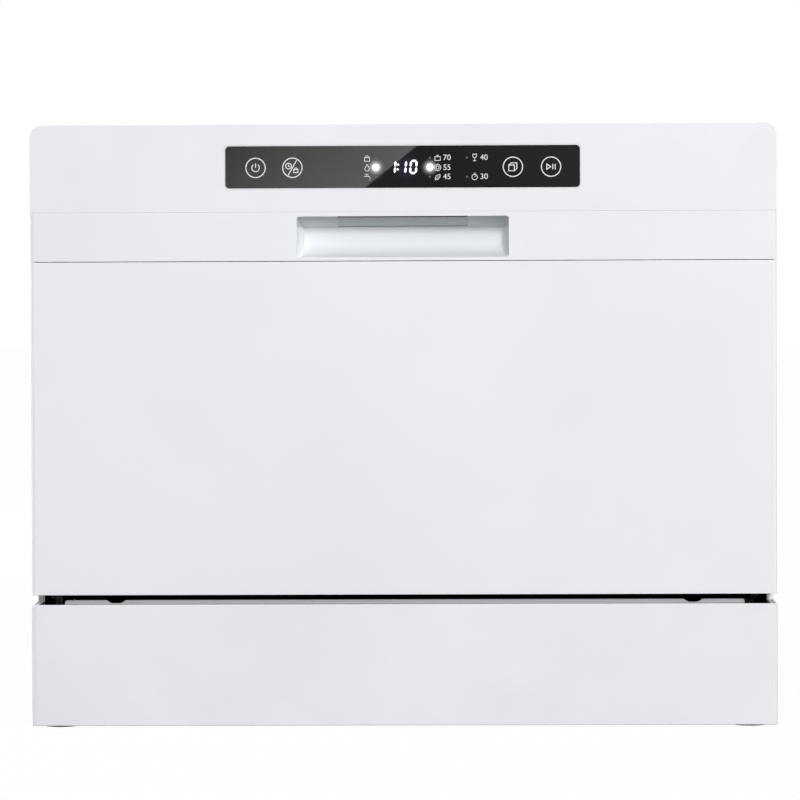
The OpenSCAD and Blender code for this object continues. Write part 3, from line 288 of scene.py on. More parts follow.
def relief(made, shader, value, height, strength=1.0):
    """The value of a texture lifts the surface, on top of any relief that is there already."""
    tree = made.node_tree
    bump = tree.nodes.new("ShaderNodeBump")
    bump.inputs["Distance"].default_value = height
    bump.inputs["Strength"].default_value = strength
    if shader.inputs["Normal"].is_linked:
        tree.links.new(shader.inputs["Normal"].links[0].from_socket, bump.inputs["Normal"])
    tree.links.new(value, bump.inputs["Height"])
    tree.links.new(bump.outputs["Normal"], shader.inputs["Normal"])


def place_mask(made, *limits):
    """1 where the place on the object lies past every limit: (axis, start, end) in metres."""
    tree = made.node_tree
    place = tree.nodes.new("ShaderNodeTexCoord")
    split = tree.nodes.new("ShaderNodeSeparateXYZ")
    tree.links.new(place.outputs["Object"], split.inputs["Vector"])
    inside = None
    for axis, start, end in limits:
        step = tree.nodes.new("ShaderNodeMapRange")
        step.inputs["From Min"].default_value, step.inputs["From Max"].default_value = start, end
        tree.links.new(split.outputs[axis], step.inputs["Value"])
        if inside is None:
            inside = step.outputs["Result"]
            continue
        both = tree.nodes.new("ShaderNodeMath")
        both.operation = "MULTIPLY"
        tree.links.new(inside, both.inputs[0])
        tree.links.new(step.outputs["Result"], both.inputs[1])
        inside = both.outputs[0]
    return inside


def repainted(made, shader, colour, roughness, *limits):
    """Another colour and roughness where the place on the object lies past every limit."""
    tree = made.node_tree
    mask = place_mask(made, *limits)
    for socket, value in (("Base Color", colour), ("Roughness", (roughness,) * 3 + (1.0,))):
        paint = tree.nodes.new("ShaderNodeMixRGB")
        paint.inputs["Color2"].default_value = value
        tree.links.new(mask, paint.inputs["Fac"])
        tree.links.new(shader.inputs[socket].links[0].from_socket, paint.inputs["Color1"])
        tree.links.new(paint.outputs["Color"], shader.inputs[socket])


print("finish helpers ready")

# %% [markdown]
# ## Plastics and paint
#
# The front is white moulded plastic round a painted steel panel, and the two are hard to tell apart:
# both are a cool white with a soft sheen. Moulded plastic has a very fine spark-eroded grain, while
# paint has the long shallow waves of orange peel. Dark and grey inner plastics use the same recipe
# with a coarser grain, because nobody polishes a mould for a part that nobody sees.

# %% Plastics and paint
def moulded(name, dark, light, smooth=0.38, rough=0.5, grain=0.00003):
    """Moulded plastic: clouds in the colour, uneven sheen and a fine grain."""
    made, shader = new_finish(name, IOR=1.5)
    clouds = pattern(made, "Noise", 14, Detail=3)
    colour_between(made, shader, clouds.outputs["Fac"], dark, light)
    roughness_between(made, shader, pattern(made, "Noise", 60, Detail=4).outputs["Fac"], smooth, rough)
    relief(made, shader, pattern(made, "Noise", 1600, Detail=2).outputs["Fac"], grain)
    return made


def painted(name, dark, light):
    """Stoved paint on sheet steel: shallow waves under a thin clear sheen."""
    made, shader = new_finish(name, IOR=1.5, Coat_Weight=0.15, Coat_Roughness=0.25)
    clouds = pattern(made, "Noise", 6, Detail=2)
    colour_between(made, shader, clouds.outputs["Fac"], dark, light)
    roughness_between(made, shader, pattern(made, "Noise", 35, Detail=3).outputs["Fac"], 0.36, 0.46)
    relief(made, shader, pattern(made, "Noise", 320, Detail=1).outputs["Fac"], 0.00004)
    relief(made, shader, pattern(made, "Noise", 1500, Detail=2).outputs["Fac"], 0.00001)
    return made


finishes = {}


def keep(maker, name, *amounts):
    """Makes a finish and puts it on the shelf under the name that the pieces ask for."""
    finishes[name] = maker(name, *amounts)


FRONT_WHITE = on_screen(236, 237, 240), on_screen(240, 241, 244)
keep(moulded, "front_plastic", *FRONT_WHITE)
keep(painted, "door_paint", *FRONT_WHITE)
keep(painted, "cabinet_paint", *FRONT_WHITE)
keep(moulded, "white_plastic", on_screen(226, 227, 226), on_screen(236, 236, 234), 0.35, 0.55)
keep(moulded, "light_grey_plastic", on_screen(188, 191, 194), on_screen(200, 203, 206))
keep(moulded, "grey_plastic", on_screen(128, 131, 136), on_screen(142, 145, 150), 0.4, 0.55)
keep(moulded, "black_plastic", on_screen(20, 20, 22), on_screen(34, 34, 37), 0.42, 0.6, 0.00006)
print("plastics and paints:", sorted(finishes))

# %% [markdown]
# Some pieces need a second colour in one place. The finger scoop is moulded in one piece with its
# strip, and its recess is duller than the polished front. The recess is also painted greyer as the
# shade that falls into it, and its roof, which faces down, is painted darkest as painted shade. Only
# its left wall, which faces the side lamp, is painted paler as painted light. The plinth's raised ledge
# is painted grey as the shadow of the door above it. A fresh material for each of these could be cut
# in along edges, but the place of a point on the object says which side of the edge it is on, so a
# few steps do it all. Each step is an axis with the place where the second colour starts and the
# place where it is whole.

# %% Second colours
FRONT_FACE = -0.250


def second_colour(name, base, *repaints):
    """A copy of a finish with other colours in some places."""
    made = finishes[base].copy()
    made.name = name
    shader = made.node_tree.nodes["Principled BSDF"]
    for colour, roughness, *limits in repaints:
        repainted(made, shader, colour, roughness, *limits)
    finishes[name] = made


RECESS = (("Y", FRONT_FACE + 0.0006, FRONT_FACE + 0.0010),
          ("X", -0.0810, -0.0800), ("X", 0.0810, 0.0800))
LEFT_WALL = ("X", -0.0738, -0.0744)
ROOF = ("Z", 0.3680, 0.3695)
LEDGE = (("Y", -0.2445, -0.2440), ("X", -0.2625, -0.2615), ("X", 0.2625, 0.2615))
second_colour("strip_plastic", "front_plastic",
              # Painted shade: the recess is painted greyer than the front, for the shade that falls
              # into it.
              (on_screen(229, 232, 234), 0.75, *RECESS),
              # Painted light: the scoop's left wall, which faces the side lamp, is painted paler still.
              (on_screen(246, 248, 249), 0.75, *RECESS, LEFT_WALL),
              # Painted shade: the scoop's roof faces down and is painted darkest.
              (on_screen(206, 211, 213), 0.75, *RECESS, ROOF))
# Painted shade: the plinth's ledge is painted grey for the shadow of the door above it.
second_colour("plinth_plastic", "front_plastic", (on_screen(170, 172, 175), 0.6, *LEDGE))
# The paddle's grey is partly a greyer moulding and partly painted shade of the scoop's roof it sits in.
keep(moulded, "paddle_plastic", on_screen(184, 190, 192), on_screen(192, 198, 200), 0.55, 0.7)
print("second colours on strip and plinth")

# %% [markdown]
# ## Metals
#
# The tub is brushed stainless steel: its scratches run one way, so the noise is squeezed along one
# axis and drives both roughness and relief. The rear sheet is galvanised: zinc freezes in large flat
# crystals, which a Voronoi texture draws with one tone a crystal. Screws, pins and springs are plated
# steel with a slightly yellow or blue cast and a blotchy sheen. The hinge arms and their brackets are
# painted near black as painted shade of the dark gap under the door, and the front end of each arm is
# painted paler as a painted glint. The foot of the steel liner is painted black as painted shade of
# that gap too. Both of these take their second colour by place again.

# %% Metals
def brushed(name, dark, light, stretch, smooth=0.22, rough=0.38):
    """Sheet metal with fine scratches along the axis that stretch leaves alone."""
    made, shader = new_finish(name, Metallic=1.0)
    scratches = pattern(made, "Noise", 40, stretch, Detail=6)
    colour_between(made, shader, scratches.outputs["Fac"], dark, light)
    roughness_between(made, shader, scratches.outputs["Fac"], smooth, rough)
    relief(made, shader, scratches.outputs["Fac"], 0.00002, 0.6)
    return made


def galvanised(name):
    """Zinc-coated sheet with flat crystals, each in a tone of its own."""
    made, shader = new_finish(name, Metallic=1.0)
    crystals = pattern(made, "Voronoi", 210, Randomness=1.0)
    split = made.node_tree.nodes.new("ShaderNodeSeparateColor")
    made.node_tree.links.new(crystals.outputs["Color"], split.inputs["Color"])
    colour_between(made, shader, split.outputs["Red"],
                   on_screen(182, 186, 190), on_screen(196, 199, 202), 0, 1)
    roughness_between(made, shader, split.outputs["Green"], 0.40, 0.48)
    relief(made, shader, split.outputs["Blue"], 0.00002, 0.5)
    return made


def plated(name, dark, light, smooth, rough):
    """Turned or pressed steel with a plated skin."""
    made, shader = new_finish(name, Metallic=1.0)
    blotches = pattern(made, "Noise", 120, Detail=5)
    colour_between(made, shader, blotches.outputs["Fac"], dark, light)
    roughness_between(made, shader, blotches.outputs["Fac"], smooth, rough)
    relief(made, shader, pattern(made, "Noise", 900, Detail=2).outputs["Fac"], 0.00002)
    return made


ARM_END = ("Y", -0.2366, -0.2372)
LINER_FOOT = ("Z", 0.0990, 0.0985)
keep(brushed, "stainless", on_screen(196, 198, 200), on_screen(216, 217, 218), (1, 14, 14))
keep(galvanised, "zinc_sheet")
keep(plated, "hinge_steel", on_screen(150, 152, 156), on_screen(176, 178, 181), 0.3, 0.45)
keep(plated, "spring_steel", on_screen(128, 129, 133), on_screen(160, 161, 164), 0.22, 0.35)
keep(plated, "screw_steel", on_screen(176, 176, 172), on_screen(205, 204, 200), 0.2, 0.34)
# Painted shade: brackets and arms are painted near black for the dark gap under the door.
keep(plated, "dark_steel", on_screen(26, 27, 29), on_screen(44, 46, 49), 0.4, 0.55)
# Painted glint: the front end of each arm is painted paler.
second_colour("arm_steel", "dark_steel", (on_screen(118, 126, 124), 0.5, ARM_END))
# Painted shade: the liner's foot, seen through the gap under the door, is painted black.
second_colour("liner_steel", "stainless", (on_screen(10, 10, 11), 0.7, LINER_FOOT))
print("metals:", [n for n in finishes if "steel" in n or "sheet" in n or n == "stainless"])

# %% [markdown]
# ## Rubber, coated wire and the circuit board
#
# Rubber is dull and dusty. The baskets are steel wire dipped in grey nylon, which leaves a soft,
# slightly uneven skin. The circuit board is green lacquer over copper tracks: a brick texture with
# long thin bricks draws tracks that run mostly one way, as they do on a real board.

# %% Rubber, wire and board
def board(name):
    """Green solder lacquer with paler tracks showing through."""
    made, shader = new_finish(name, Coat_Weight=0.4, Coat_Roughness=0.12)
    tracks = pattern(made, "Brick", 1.0, (160, 160, 160), **{"Mortar Size": 0.06, "Brick Width": 1.7})
    colour_between(made, shader, tracks.outputs["Fac"],
                   on_screen(18, 74, 42), on_screen(46, 110, 62), 0, 1)
    roughness_between(made, shader, pattern(made, "Noise", 90, Detail=2).outputs["Fac"], 0.3, 0.45)
    relief(made, shader, tracks.outputs["Fac"], 0.00003)
    return made


keep(moulded, "gasket_rubber", on_screen(58, 60, 63), on_screen(74, 76, 80), 0.6, 0.75, 0.00005)
keep(moulded, "tube_rubber", on_screen(40, 41, 43), on_screen(56, 57, 59), 0.5, 0.65, 0.00005)
keep(moulded, "rack_wire", on_screen(150, 154, 160), on_screen(168, 172, 178), 0.34, 0.46, 0.00008)
keep(board, "board_green")
print(len(finishes), "finishes so far")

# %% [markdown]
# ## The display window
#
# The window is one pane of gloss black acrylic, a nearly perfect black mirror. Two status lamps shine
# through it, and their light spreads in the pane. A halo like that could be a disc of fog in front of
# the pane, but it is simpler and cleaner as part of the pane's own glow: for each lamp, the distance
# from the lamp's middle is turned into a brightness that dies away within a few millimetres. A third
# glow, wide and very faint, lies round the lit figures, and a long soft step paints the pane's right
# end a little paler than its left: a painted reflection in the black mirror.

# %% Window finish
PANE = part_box("display_window")
PANE_FACE = PANE[0].y
PANE_MIDDLE = 0.4124                      # height of the row of symbols
LAMP_XS = -0.0196, 0.0202                 # the two lit status lamps
LAMP_RADIUS = 0.0024
HALO_REACH = 0.0085
HALO_STEEPNESS = 4.0
HALO_COLOUR = (0.62, 0.66, 0.64)
DIGITS_MIDDLE = Vector((0.0003, PANE_FACE, PANE_MIDDLE + 0.0002))
LIT_MIDDLE = DIGITS_MIDDLE + Vector((0.0023, 0, 0))    # the two ones fill only half of their cells
FIGURE_GLOW = 0.006, 0.016, (0.010, 0.008, 0.022)      # start, reach and colour
PALER_END = ("X", 0.03, 0.15)


def halo(made, middle, start, reach, colour):
    """A colour that fades from start to reach round a point, as a node output."""
    tree = made.node_tree
    place = tree.nodes.new("ShaderNodeTexCoord")
    gap = tree.nodes.new("ShaderNodeVectorMath")
    gap.operation = "DISTANCE"
    gap.inputs[1].default_value = middle
    fade = tree.nodes.new("ShaderNodeMapRange")
    for socket, amount in (("From Min", start), ("From Max", reach), ("To Min", 1.0), ("To Max", 0.0)):
        fade.inputs[socket].default_value = amount
    steep = tree.nodes.new("ShaderNodeMath")
    steep.operation = "POWER"
    steep.inputs[1].default_value = HALO_STEEPNESS
    scaled = tree.nodes.new("ShaderNodeVectorMath")
    scaled.operation = "SCALE"
    scaled.inputs[0].default_value = colour
    tree.links.new(place.outputs["Object"], gap.inputs[0])
    tree.links.new(gap.outputs["Value"], fade.inputs["Value"])
    tree.links.new(fade.outputs["Result"], steep.inputs[0])
    tree.links.new(steep.outputs[0], scaled.inputs["Scale"])
    return scaled.outputs["Vector"]


window, shader = new_finish("window_gloss", IOR=1.5, Specular_IOR_Level=0.15, Emission_Strength=1.0)
colour_between(window, shader, pattern(window, "Noise", 9, Detail=2).outputs["Fac"],
               on_screen(8, 11, 13), on_screen(14, 16, 18))
roughness_between(window, shader, pattern(window, "Noise", 70, Detail=3).outputs["Fac"], 0.004, 0.014)
# Painted reflection: the pane's right end is painted paler, as a mirror would show it.
repainted(window, shader, on_screen(27, 30, 32), 0.009, PALER_END)
halos = [halo(window, (x, PANE_FACE, PANE_MIDDLE), LAMP_RADIUS, HALO_REACH, HALO_COLOUR)
         for x in LAMP_XS]
halos.append(halo(window, LIT_MIDDLE, *FIGURE_GLOW))
total = halos[0]
for more in halos[1:]:
    plus = window.node_tree.nodes.new("ShaderNodeVectorMath")
    plus.operation = "ADD"
    window.node_tree.links.new(total, plus.inputs[0])
    window.node_tree.links.new(more, plus.inputs[1])
    total = plus.outputs["Vector"]
window.node_tree.links.new(total, shader.inputs["Emission Color"])
finishes["window_gloss"] = window
print("window", [round((PANE[1][i] - PANE[0][i]) / MM, 1) for i in range(3)], "mm")

# %% [markdown]
# ## Edges
#
# A computer's box has edges of no width, and nothing made by a mould or a press has those. The solids
# arrive as loose triangles, so a short stack of modifiers puts them in order: Weld joins them, Planar
# Decimate melts flat triangles into whole faces, Bevel rounds what is sharp, and a small node group
# marks what stays sharp before Weighted Normal shades large faces as flat. The mesh below stays as it
# came, which the frame asks for.

# %% Edge modifiers
SOFT_ANGLE = math.radians(33)
FLAT_ANGLE = math.radians(0.6)               # faces that bend by less than this melt into one
WELD_GAP = 0.000005


def sharp_marker():
    """A node group that shades smooth and keeps edges steeper than SOFT_ANGLE sharp."""
    group = bpy.data.node_groups.new("mark_sharp_edges", "GeometryNodeTree")
    group.interface.new_socket("Geometry", in_out="INPUT", socket_type="NodeSocketGeometry")
    group.interface.new_socket("Geometry", in_out="OUTPUT", socket_type="NodeSocketGeometry")
    start, end = group.nodes.new("NodeGroupInput"), group.nodes.new("NodeGroupOutput")
    faces = group.nodes.new("GeometryNodeSetShadeSmooth")
    edges = group.nodes.new("GeometryNodeSetShadeSmooth")
    edges.domain = "EDGE"
    bend = group.nodes.new("GeometryNodeInputMeshEdgeAngle")
    gentle = group.nodes.new("FunctionNodeCompare")
    gentle.operation = "LESS_THAN"
    gentle.inputs["B"].default_value = SOFT_ANGLE
    group.links.new(start.outputs[0], faces.inputs["Geometry"])
    group.links.new(faces.outputs["Geometry"], edges.inputs["Geometry"])
    group.links.new(bend.outputs["Unsigned Angle"], gentle.inputs["A"])
    group.links.new(gentle.outputs["Result"], edges.inputs["Shade Smooth"])
    group.links.new(edges.outputs["Geometry"], end.inputs[0])
    return group


MARKER = sharp_marker()


def soften(piece, width):
    """Rounds the sharp edges of a solid by a width in metres. A width of 0 only shades it."""
    weld = piece.modifiers.new("weld", "WELD")
    weld.merge_threshold = WELD_GAP
    if width:
        melt = piece.modifiers.new("melt", "DECIMATE")
        melt.decimate_type, melt.angle_limit = "DISSOLVE", FLAT_ANGLE
        bevel = piece.modifiers.new("bevel", "BEVEL")
        bevel.width, bevel.segments = width, 2
        bevel.limit_method, bevel.angle_limit = "ANGLE", SOFT_ANGLE
        bevel.miter_outer = "MITER_ARC"
    marker = piece.modifiers.new("marker", "NODES")
    marker.node_group = MARKER
    even = piece.modifiers.new("even", "WEIGHTED_NORMAL")
    even.keep_sharp = True


print("soft angle", round(math.degrees(SOFT_ANGLE)), "degrees")

# %% [markdown]
# ## Dress the solids
#
# Each solid takes the finish of its slot. The round of its edges depends on how it was made: thick
# mouldings get nearly a millimetre, bent sheet gets less than half its thickness, and wire, springs
# and tubes are round already and are only shaded.

# %% Dress every node
EDGE_WIDTHS = {
    "front_plastic": 0.0007, "door_paint": 0.0004, "cabinet_paint": 0.0004, "zinc_sheet": 0.0003,
    "black_plastic": 0.0005, "grey_plastic": 0.0005, "light_grey_plastic": 0.0005,
    "white_plastic": 0.0005,
    "stainless": 0.0003, "hinge_steel": 0.0003, "window_gloss": 0.0003, "gasket_rubber": 0.0006,
    "board_green": 0.0002, "screw_steel": 0.0002,
}
ROUND_ALREADY = {"basket_floor", "basket_walls", "plate_tines", "cup_shelf", "left_door_spring",
                 "right_door_spring", "inlet_tube", "drain_tube", "cutlery_basket"}
OWN_FINISH = {
    "handle_strip": "strip_plastic", "release_paddle": "paddle_plastic",
    "kick_plate": "plinth_plastic", "door_inner_liner": "liner_steel",
    "left_hinge_arm": "arm_steel", "right_hinge_arm": "arm_steel",
    "left_hinge_bracket": "dark_steel", "right_hinge_bracket": "dark_steel",
}
OWN_EDGE = {"release_paddle": 0.00012, "handle_strip": 0.0005}
for name, solid in nodes.items():
    slot = slot_of[name]
    solid.data.materials.clear()
    solid.data.materials.append(finishes[OWN_FINISH.get(name, slot)])
    soften(solid, 0 if name in ROUND_ALREADY else OWN_EDGE.get(name, EDGE_WIDTHS.get(slot, 0)))
print("dressed", len(nodes), "solids")

# %% [markdown]
# ## Mats, caps, felts and soles
#
# A thin steel panel rings like a drum, so machines like this often have a heavy bitumen mat glued to
# the inner face of each side panel. The two corners of the gap under the door are pitch black with
# shade, and here the near-black mat is also painted shade that stands in for it. Small caps that
# close the ends of the plinth, felt in the gaps beside the release paddle and a soft sole under each
# foot are likely pieces too; the soles' dark rubber is also painted shade under the feet. None of them
# can be told for sure from the front, so all are plain flat plates: one helper lays an outline out on
# a plane and gives it its thickness with Solidify.

# %% Plate helper
def rounded(low, high, radius, steps=6):
    """Corner points of a rectangle with rounded corners, in any plane."""
    middles = [((high[0] - radius, high[1] - radius), 0), ((low[0] + radius, high[1] - radius), 90),
               ((low[0] + radius, low[1] + radius), 180), ((high[0] - radius, low[1] + radius), 270)]
    return [(m[0] + radius * math.cos(math.radians(turn + 90 * i / steps)),
             m[1] + radius * math.sin(math.radians(turn + 90 * i / steps)))
            for m, turn in middles for i in range(steps + 1)]


def plate(name, corners, thickness, edge, finish, body):
    """A flat plate from corner points in space, thickened to both sides, with soft edges."""
    data = bpy.data.meshes.new(name)
    data.from_pydata(corners, [], [tuple(range(len(corners)))])
    data.materials.append(finish)
    piece = bpy.data.objects.new(name, data)
    bpy.context.scene.collection.objects.link(piece)
    thick = piece.modifiers.new("thick", "SOLIDIFY")
    thick.thickness, thick.offset = thickness, 0
    soft = piece.modifiers.new("soft", "BEVEL")
    soft.width, soft.segments, soft.limit_method = edge, 2, "ANGLE"
    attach(piece, body)


print("plate helper ready")

# %% [markdown]
# The mats lie flat against the panels and the caps fill the two narrow ends of the plinth's top. The
# felts follow the outline of the paddle's side, and each sole is a disc a little wider than its foot.

# %% Mats, caps, felts and soles
# Painted shade: the mat's near black stands in for the shade in the gap's corners, as well as a sound
# mat's colour.
bitumen_and_shade, shader = new_finish("bitumen_and_shade", IOR=1.45, Specular_IOR_Level=0.1)
colour_between(bitumen_and_shade, shader, pattern(bitumen_and_shade, "Noise", 250, Detail=4).outputs["Fac"],
               on_screen(7, 7, 8), on_screen(15, 15, 16))
roughness_between(bitumen_and_shade, shader, pattern(bitumen_and_shade, "Noise", 80, Detail=2).outputs["Fac"], 0.85, 0.97)
relief(bitumen_and_shade, shader, pattern(bitumen_and_shade, "Voronoi", 320).outputs["Distance"], 0.0002)
SIDES = (-1, "left"), (1, "right")
PANEL_INSIDE, MAT_THICK, CAP_THICK = 0.2739, 0.0014, 0.0016
MAT_OUTLINE = rounded((-0.196, 0.0745), (0.200, 0.410), 0.012)           # in Y and Z
CAP_OUTLINE = rounded((0.2696, -0.2475), (0.2727, -0.2006), 0.0012)      # in X and Y
CAP_HEIGHT = 0.0900
PLATE_EDGE, FELT_EDGE = 0.0003, 0.00003
for side, word in SIDES:
    x = side * (PANEL_INSIDE - MAT_THICK / 2)
    plate("sound_and_shade_mat_" + word, [(x, y, z) for y, z in MAT_OUTLINE],
          MAT_THICK, PLATE_EDGE, bitumen_and_shade, "cabinet")
    plate("plinth_cap_" + word, [(side * x, y, CAP_HEIGHT) for x, y in CAP_OUTLINE],
          CAP_THICK, PLATE_EDGE, finishes["front_plastic"], "cabinet")

PADDLE_SIDE = [(-0.2468, 0.3758), (-0.2282, 0.3700), (-0.2270, 0.3727),
               (-0.2410, 0.3803), (-0.2426, 0.3783)]                     # in Y and Z
PADDLE_HALF, FELT_THICK = 0.0475, 0.0002
for side, word in SIDES:
    corners = [(side * (PADDLE_HALF + FELT_THICK / 2), y, z) for y, z in PADDLE_SIDE]
    plate("paddle_felt_" + word, corners, FELT_THICK, FELT_EDGE, finishes["paddle_plastic"],
          "release_paddle")

# The soles' dark rubber is partly painted shade: it also stands in for the contact shade under each
# foot.
SOLE_RADIUS, SOLE_THICK = 0.0125, 0.0011
for place in ("front_left", "front_right", "rear_left", "rear_right"):
    low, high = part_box("foot_" + place)
    corners = [((low.x + high.x) / 2 + SOLE_RADIUS * math.cos(math.radians(t)),
                (low.y + high.y) / 2 + SOLE_RADIUS * math.sin(math.radians(t)), SOLE_THICK / 2)
               for t in range(0, 360, 6)]
    plate("sole_" + place, corners, SOLE_THICK, PLATE_EDGE, finishes["tube_rubber"],
          "foot_" + place)
print("mats", MAT_THICK / MM, "mm and caps", CAP_THICK / MM, "mm thick")

# %% [markdown]
# ## Printed symbols
#
# Symbols are screen-printed on the pane in pale grey. Each is a few strokes: rings, arcs and bent
# lines. A curve object could draw them, but a flat ribbon of quads gives a mesh that is as thin as
# ink and sharp at its corners. So one helper turns a line of points into a ribbon with mitred
# corners, and the symbols are short lists of such lines.

# %% Ribbon helper
INK = 0.00004                              # thickness of the print
BIG_STROKE, SMALL_STROKE = 0.00072, 0.00045
MITRE_LIMIT = 0.4                          # keeps a sharp corner from growing a spike


def arc(middle, radius, start, end, steps=24):
    """Points along an arc, in degrees from +X towards +Z."""
    turns = [math.radians(start + (end - start) * i / steps) for i in range(steps + 1)]
    return [(middle[0] + radius * math.cos(t), middle[1] + radius * math.sin(t)) for t in turns]


def ribbon(mesh, line, width, closed=False, face=PANE_FACE):
    """Adds a flat ribbon along a line of (x, z) points, with mitred corners."""
    points = [Vector(p) for p in line]
    count = len(points)
    sides = []
    for i, here in enumerate(points):
        before = points[i - 1] if i or closed else None
        after = points[(i + 1) % count] if i < count - 1 or closed else None
        ahead = ((after - here) if after is not None else (here - before)).normalized()
        behind = ((here - before) if before is not None else (after - here)).normalized()
        normal = Vector((-(ahead + behind).y, (ahead + behind).x)).normalized()
        reach = width / 2 / max(MITRE_LIMIT, normal.dot(Vector((-ahead.y, ahead.x))))
        ends = here - normal * reach, here + normal * reach
        sides.append([mesh.verts.new((p.x, face, p.y)) for p in ends])
    for i in range(count if closed else count - 1):
        (a, b), (c, d) = sides[i], sides[(i + 1) % count]
        mesh.faces.new((a, c, d, b))


def piece_from(mesh, name, finish):
    """Makes a door piece of a bmesh and gives it the thickness of ink."""
    data = bpy.data.meshes.new(name)
    mesh.to_mesh(data)
    mesh.free()
    data.materials.append(finish)
    piece = bpy.data.objects.new(name, data)
    bpy.context.scene.collection.objects.link(piece)
    layer = piece.modifiers.new("ink", "SOLIDIFY")
    layer.thickness, layer.offset = INK, 1
    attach(piece, "door")


print("ribbon helper ready")

# %% [markdown]
# Four touch keys carry a ring with a symbol in it: on and off, delay and child lock, programme, and
# start and pause. All lines are written in millimetres from the symbol's middle.

# %% Key symbols
KEY_RING = 7.1
SYMBOL_SIZE = 0.9                          # share of the drawn size that the ring leaves room for
SYMBOL_STROKE = BIG_STROKE * 0.9
POWER_X, LOCK_X, PROGRAMME_X, START_X = -108.0, -80.9, 81.1, 109.1
key_strokes = {
    POWER_X: [(arc((0, 0), 3.1, 127, 413), False), ([(0, 3.7), (0, 0.1)], False)],
    LOCK_X: [([(-3.6, -6.3), (3.6, 6.3)], False), (arc((-3.1, 1.4), 2.3, 0, 345), True),
             ([(-3.1, 2.6), (-3.1, 1.3), (-2.2, 0.7)], False),
             ([(1.1, -4.0), (4.5, -4.0), (4.5, -1.5), (1.1, -1.5)], True),
             (arc((2.8, -1.3), 1.1, 0, 180), False)],
    PROGRAMME_X: [([(-3.4, -3.2), (1.2, -3.2), (1.2, 1.4), (-3.4, 1.4)], True),
                  ([(-3.0, 1.6), (-1.4, 3.2), (3.2, 3.2), (3.2, -1.4), (1.4, -3.0)], False)],
    START_X: [([(-3.5, 2.2), (-3.5, -2.2), (-0.3, 0)], True), ([(1.4, 2.2), (1.4, -2.2)], False),
              ([(3.4, 2.2), (3.4, -2.2)], False)],
}
# The ink's faint glow is painted light: printed symbols are no lamp.
ink_and_glow_paint, ink_shader = new_finish("symbol_ink_and_glow", Roughness=0.45, Emission_Strength=0.25)
ink_shader.inputs["Emission Color"].default_value = on_screen(214, 218, 220)
colour_between(ink_and_glow_paint, ink_shader, pattern(ink_and_glow_paint, "Noise", 900, Detail=2).outputs["Fac"],
               on_screen(196, 200, 202), on_screen(216, 219, 221))


def placed(line, middle_x, middle_z, size=1.0):
    """A line in millimetres, moved to its place on the pane, in metres."""
    return [(middle_x * MM + x * size * MM, middle_z + z * size * MM) for x, z in line]


keys = bmesh.new()
for middle_x, strokes in key_strokes.items():
    ring = placed(arc((0, 0), KEY_RING, 0, 354, 59), middle_x, PANE_MIDDLE)
    ribbon(keys, ring, BIG_STROKE, closed=True)
    for line, closed in strokes:
        ribbon(keys, placed(line, middle_x, PANE_MIDDLE, SYMBOL_SIZE), SYMBOL_STROKE, closed)
piece_from(keys, "key_symbols", ink_and_glow_paint)
print("keys at", sorted(key_strokes), "mm")

# %% [markdown]
# Two fine lines frame the front. A pale line round the pane is a painted highlight of the light on
# the pane's edge, and the seam under the control panel isn't open to the dark inside: the strip below
# has a tongue that reaches up behind the seam, in the same paler white, which paints light into the
# seam. Both are ribbons too, the tongue a little way behind the front.

# %% Painted highlight round the pane and seam tongue
HIGHLIGHT_WIDE, PANE_CORNER = 0.0005, 0.0035
# Painted highlight: a white brighter than the front, for the pane's lit edge and the lit seam.
painted_light_white = moulded("painted_light_plastic", on_screen(246, 247, 248), on_screen(250, 251, 252), 0.3, 0.4)
(left, bottom), (right, top) = [(corner.x, corner.z) for corner in PANE]
edge = PANE_CORNER - HIGHLIGHT_WIDE / 2
inset_left, inset_right = left + PANE_CORNER, right - PANE_CORNER
inset_bottom, inset_top = bottom + PANE_CORNER, top - PANE_CORNER
outline = (arc((inset_right, inset_top), edge, 0, 90, 8)
           + arc((inset_left, inset_top), edge, 90, 180, 8)
           + arc((inset_left, inset_bottom), edge, 180, 270, 8)
           + arc((inset_right, inset_bottom), edge, 270, 360, 8))
highlight_ring = bmesh.new()
ribbon(highlight_ring, outline, HIGHLIGHT_WIDE, closed=True)
piece_from(highlight_ring, "pane_highlight_ring", painted_light_white)
SEAM_HEIGHT, SEAM_WIDE, TONGUE_DEPTH = 0.3797, 0.0005, 0.0007
half_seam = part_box("handle_strip")[1].x - 0.0002
tongue = bmesh.new()
seam = [(x * half_seam / 8, SEAM_HEIGHT) for x in range(-8, 9)]
ribbon(tongue, seam, SEAM_WIDE, face=FRONT_FACE + TONGUE_DEPTH)
piece_from(tongue, "seam_tongue", painted_light_white)
print("bead round", [round((b - a) / MM, 1) for a, b in ((left, right), (bottom, top))], "mm")

# %% [markdown]
# Beside the lamps are small pictograms of what each lamp stands for, with plain numbers for the
# water's temperature. The numbers are text objects, because figures need more curves than a few
# strokes. The strokes are written as shares of half the pictogram's height.

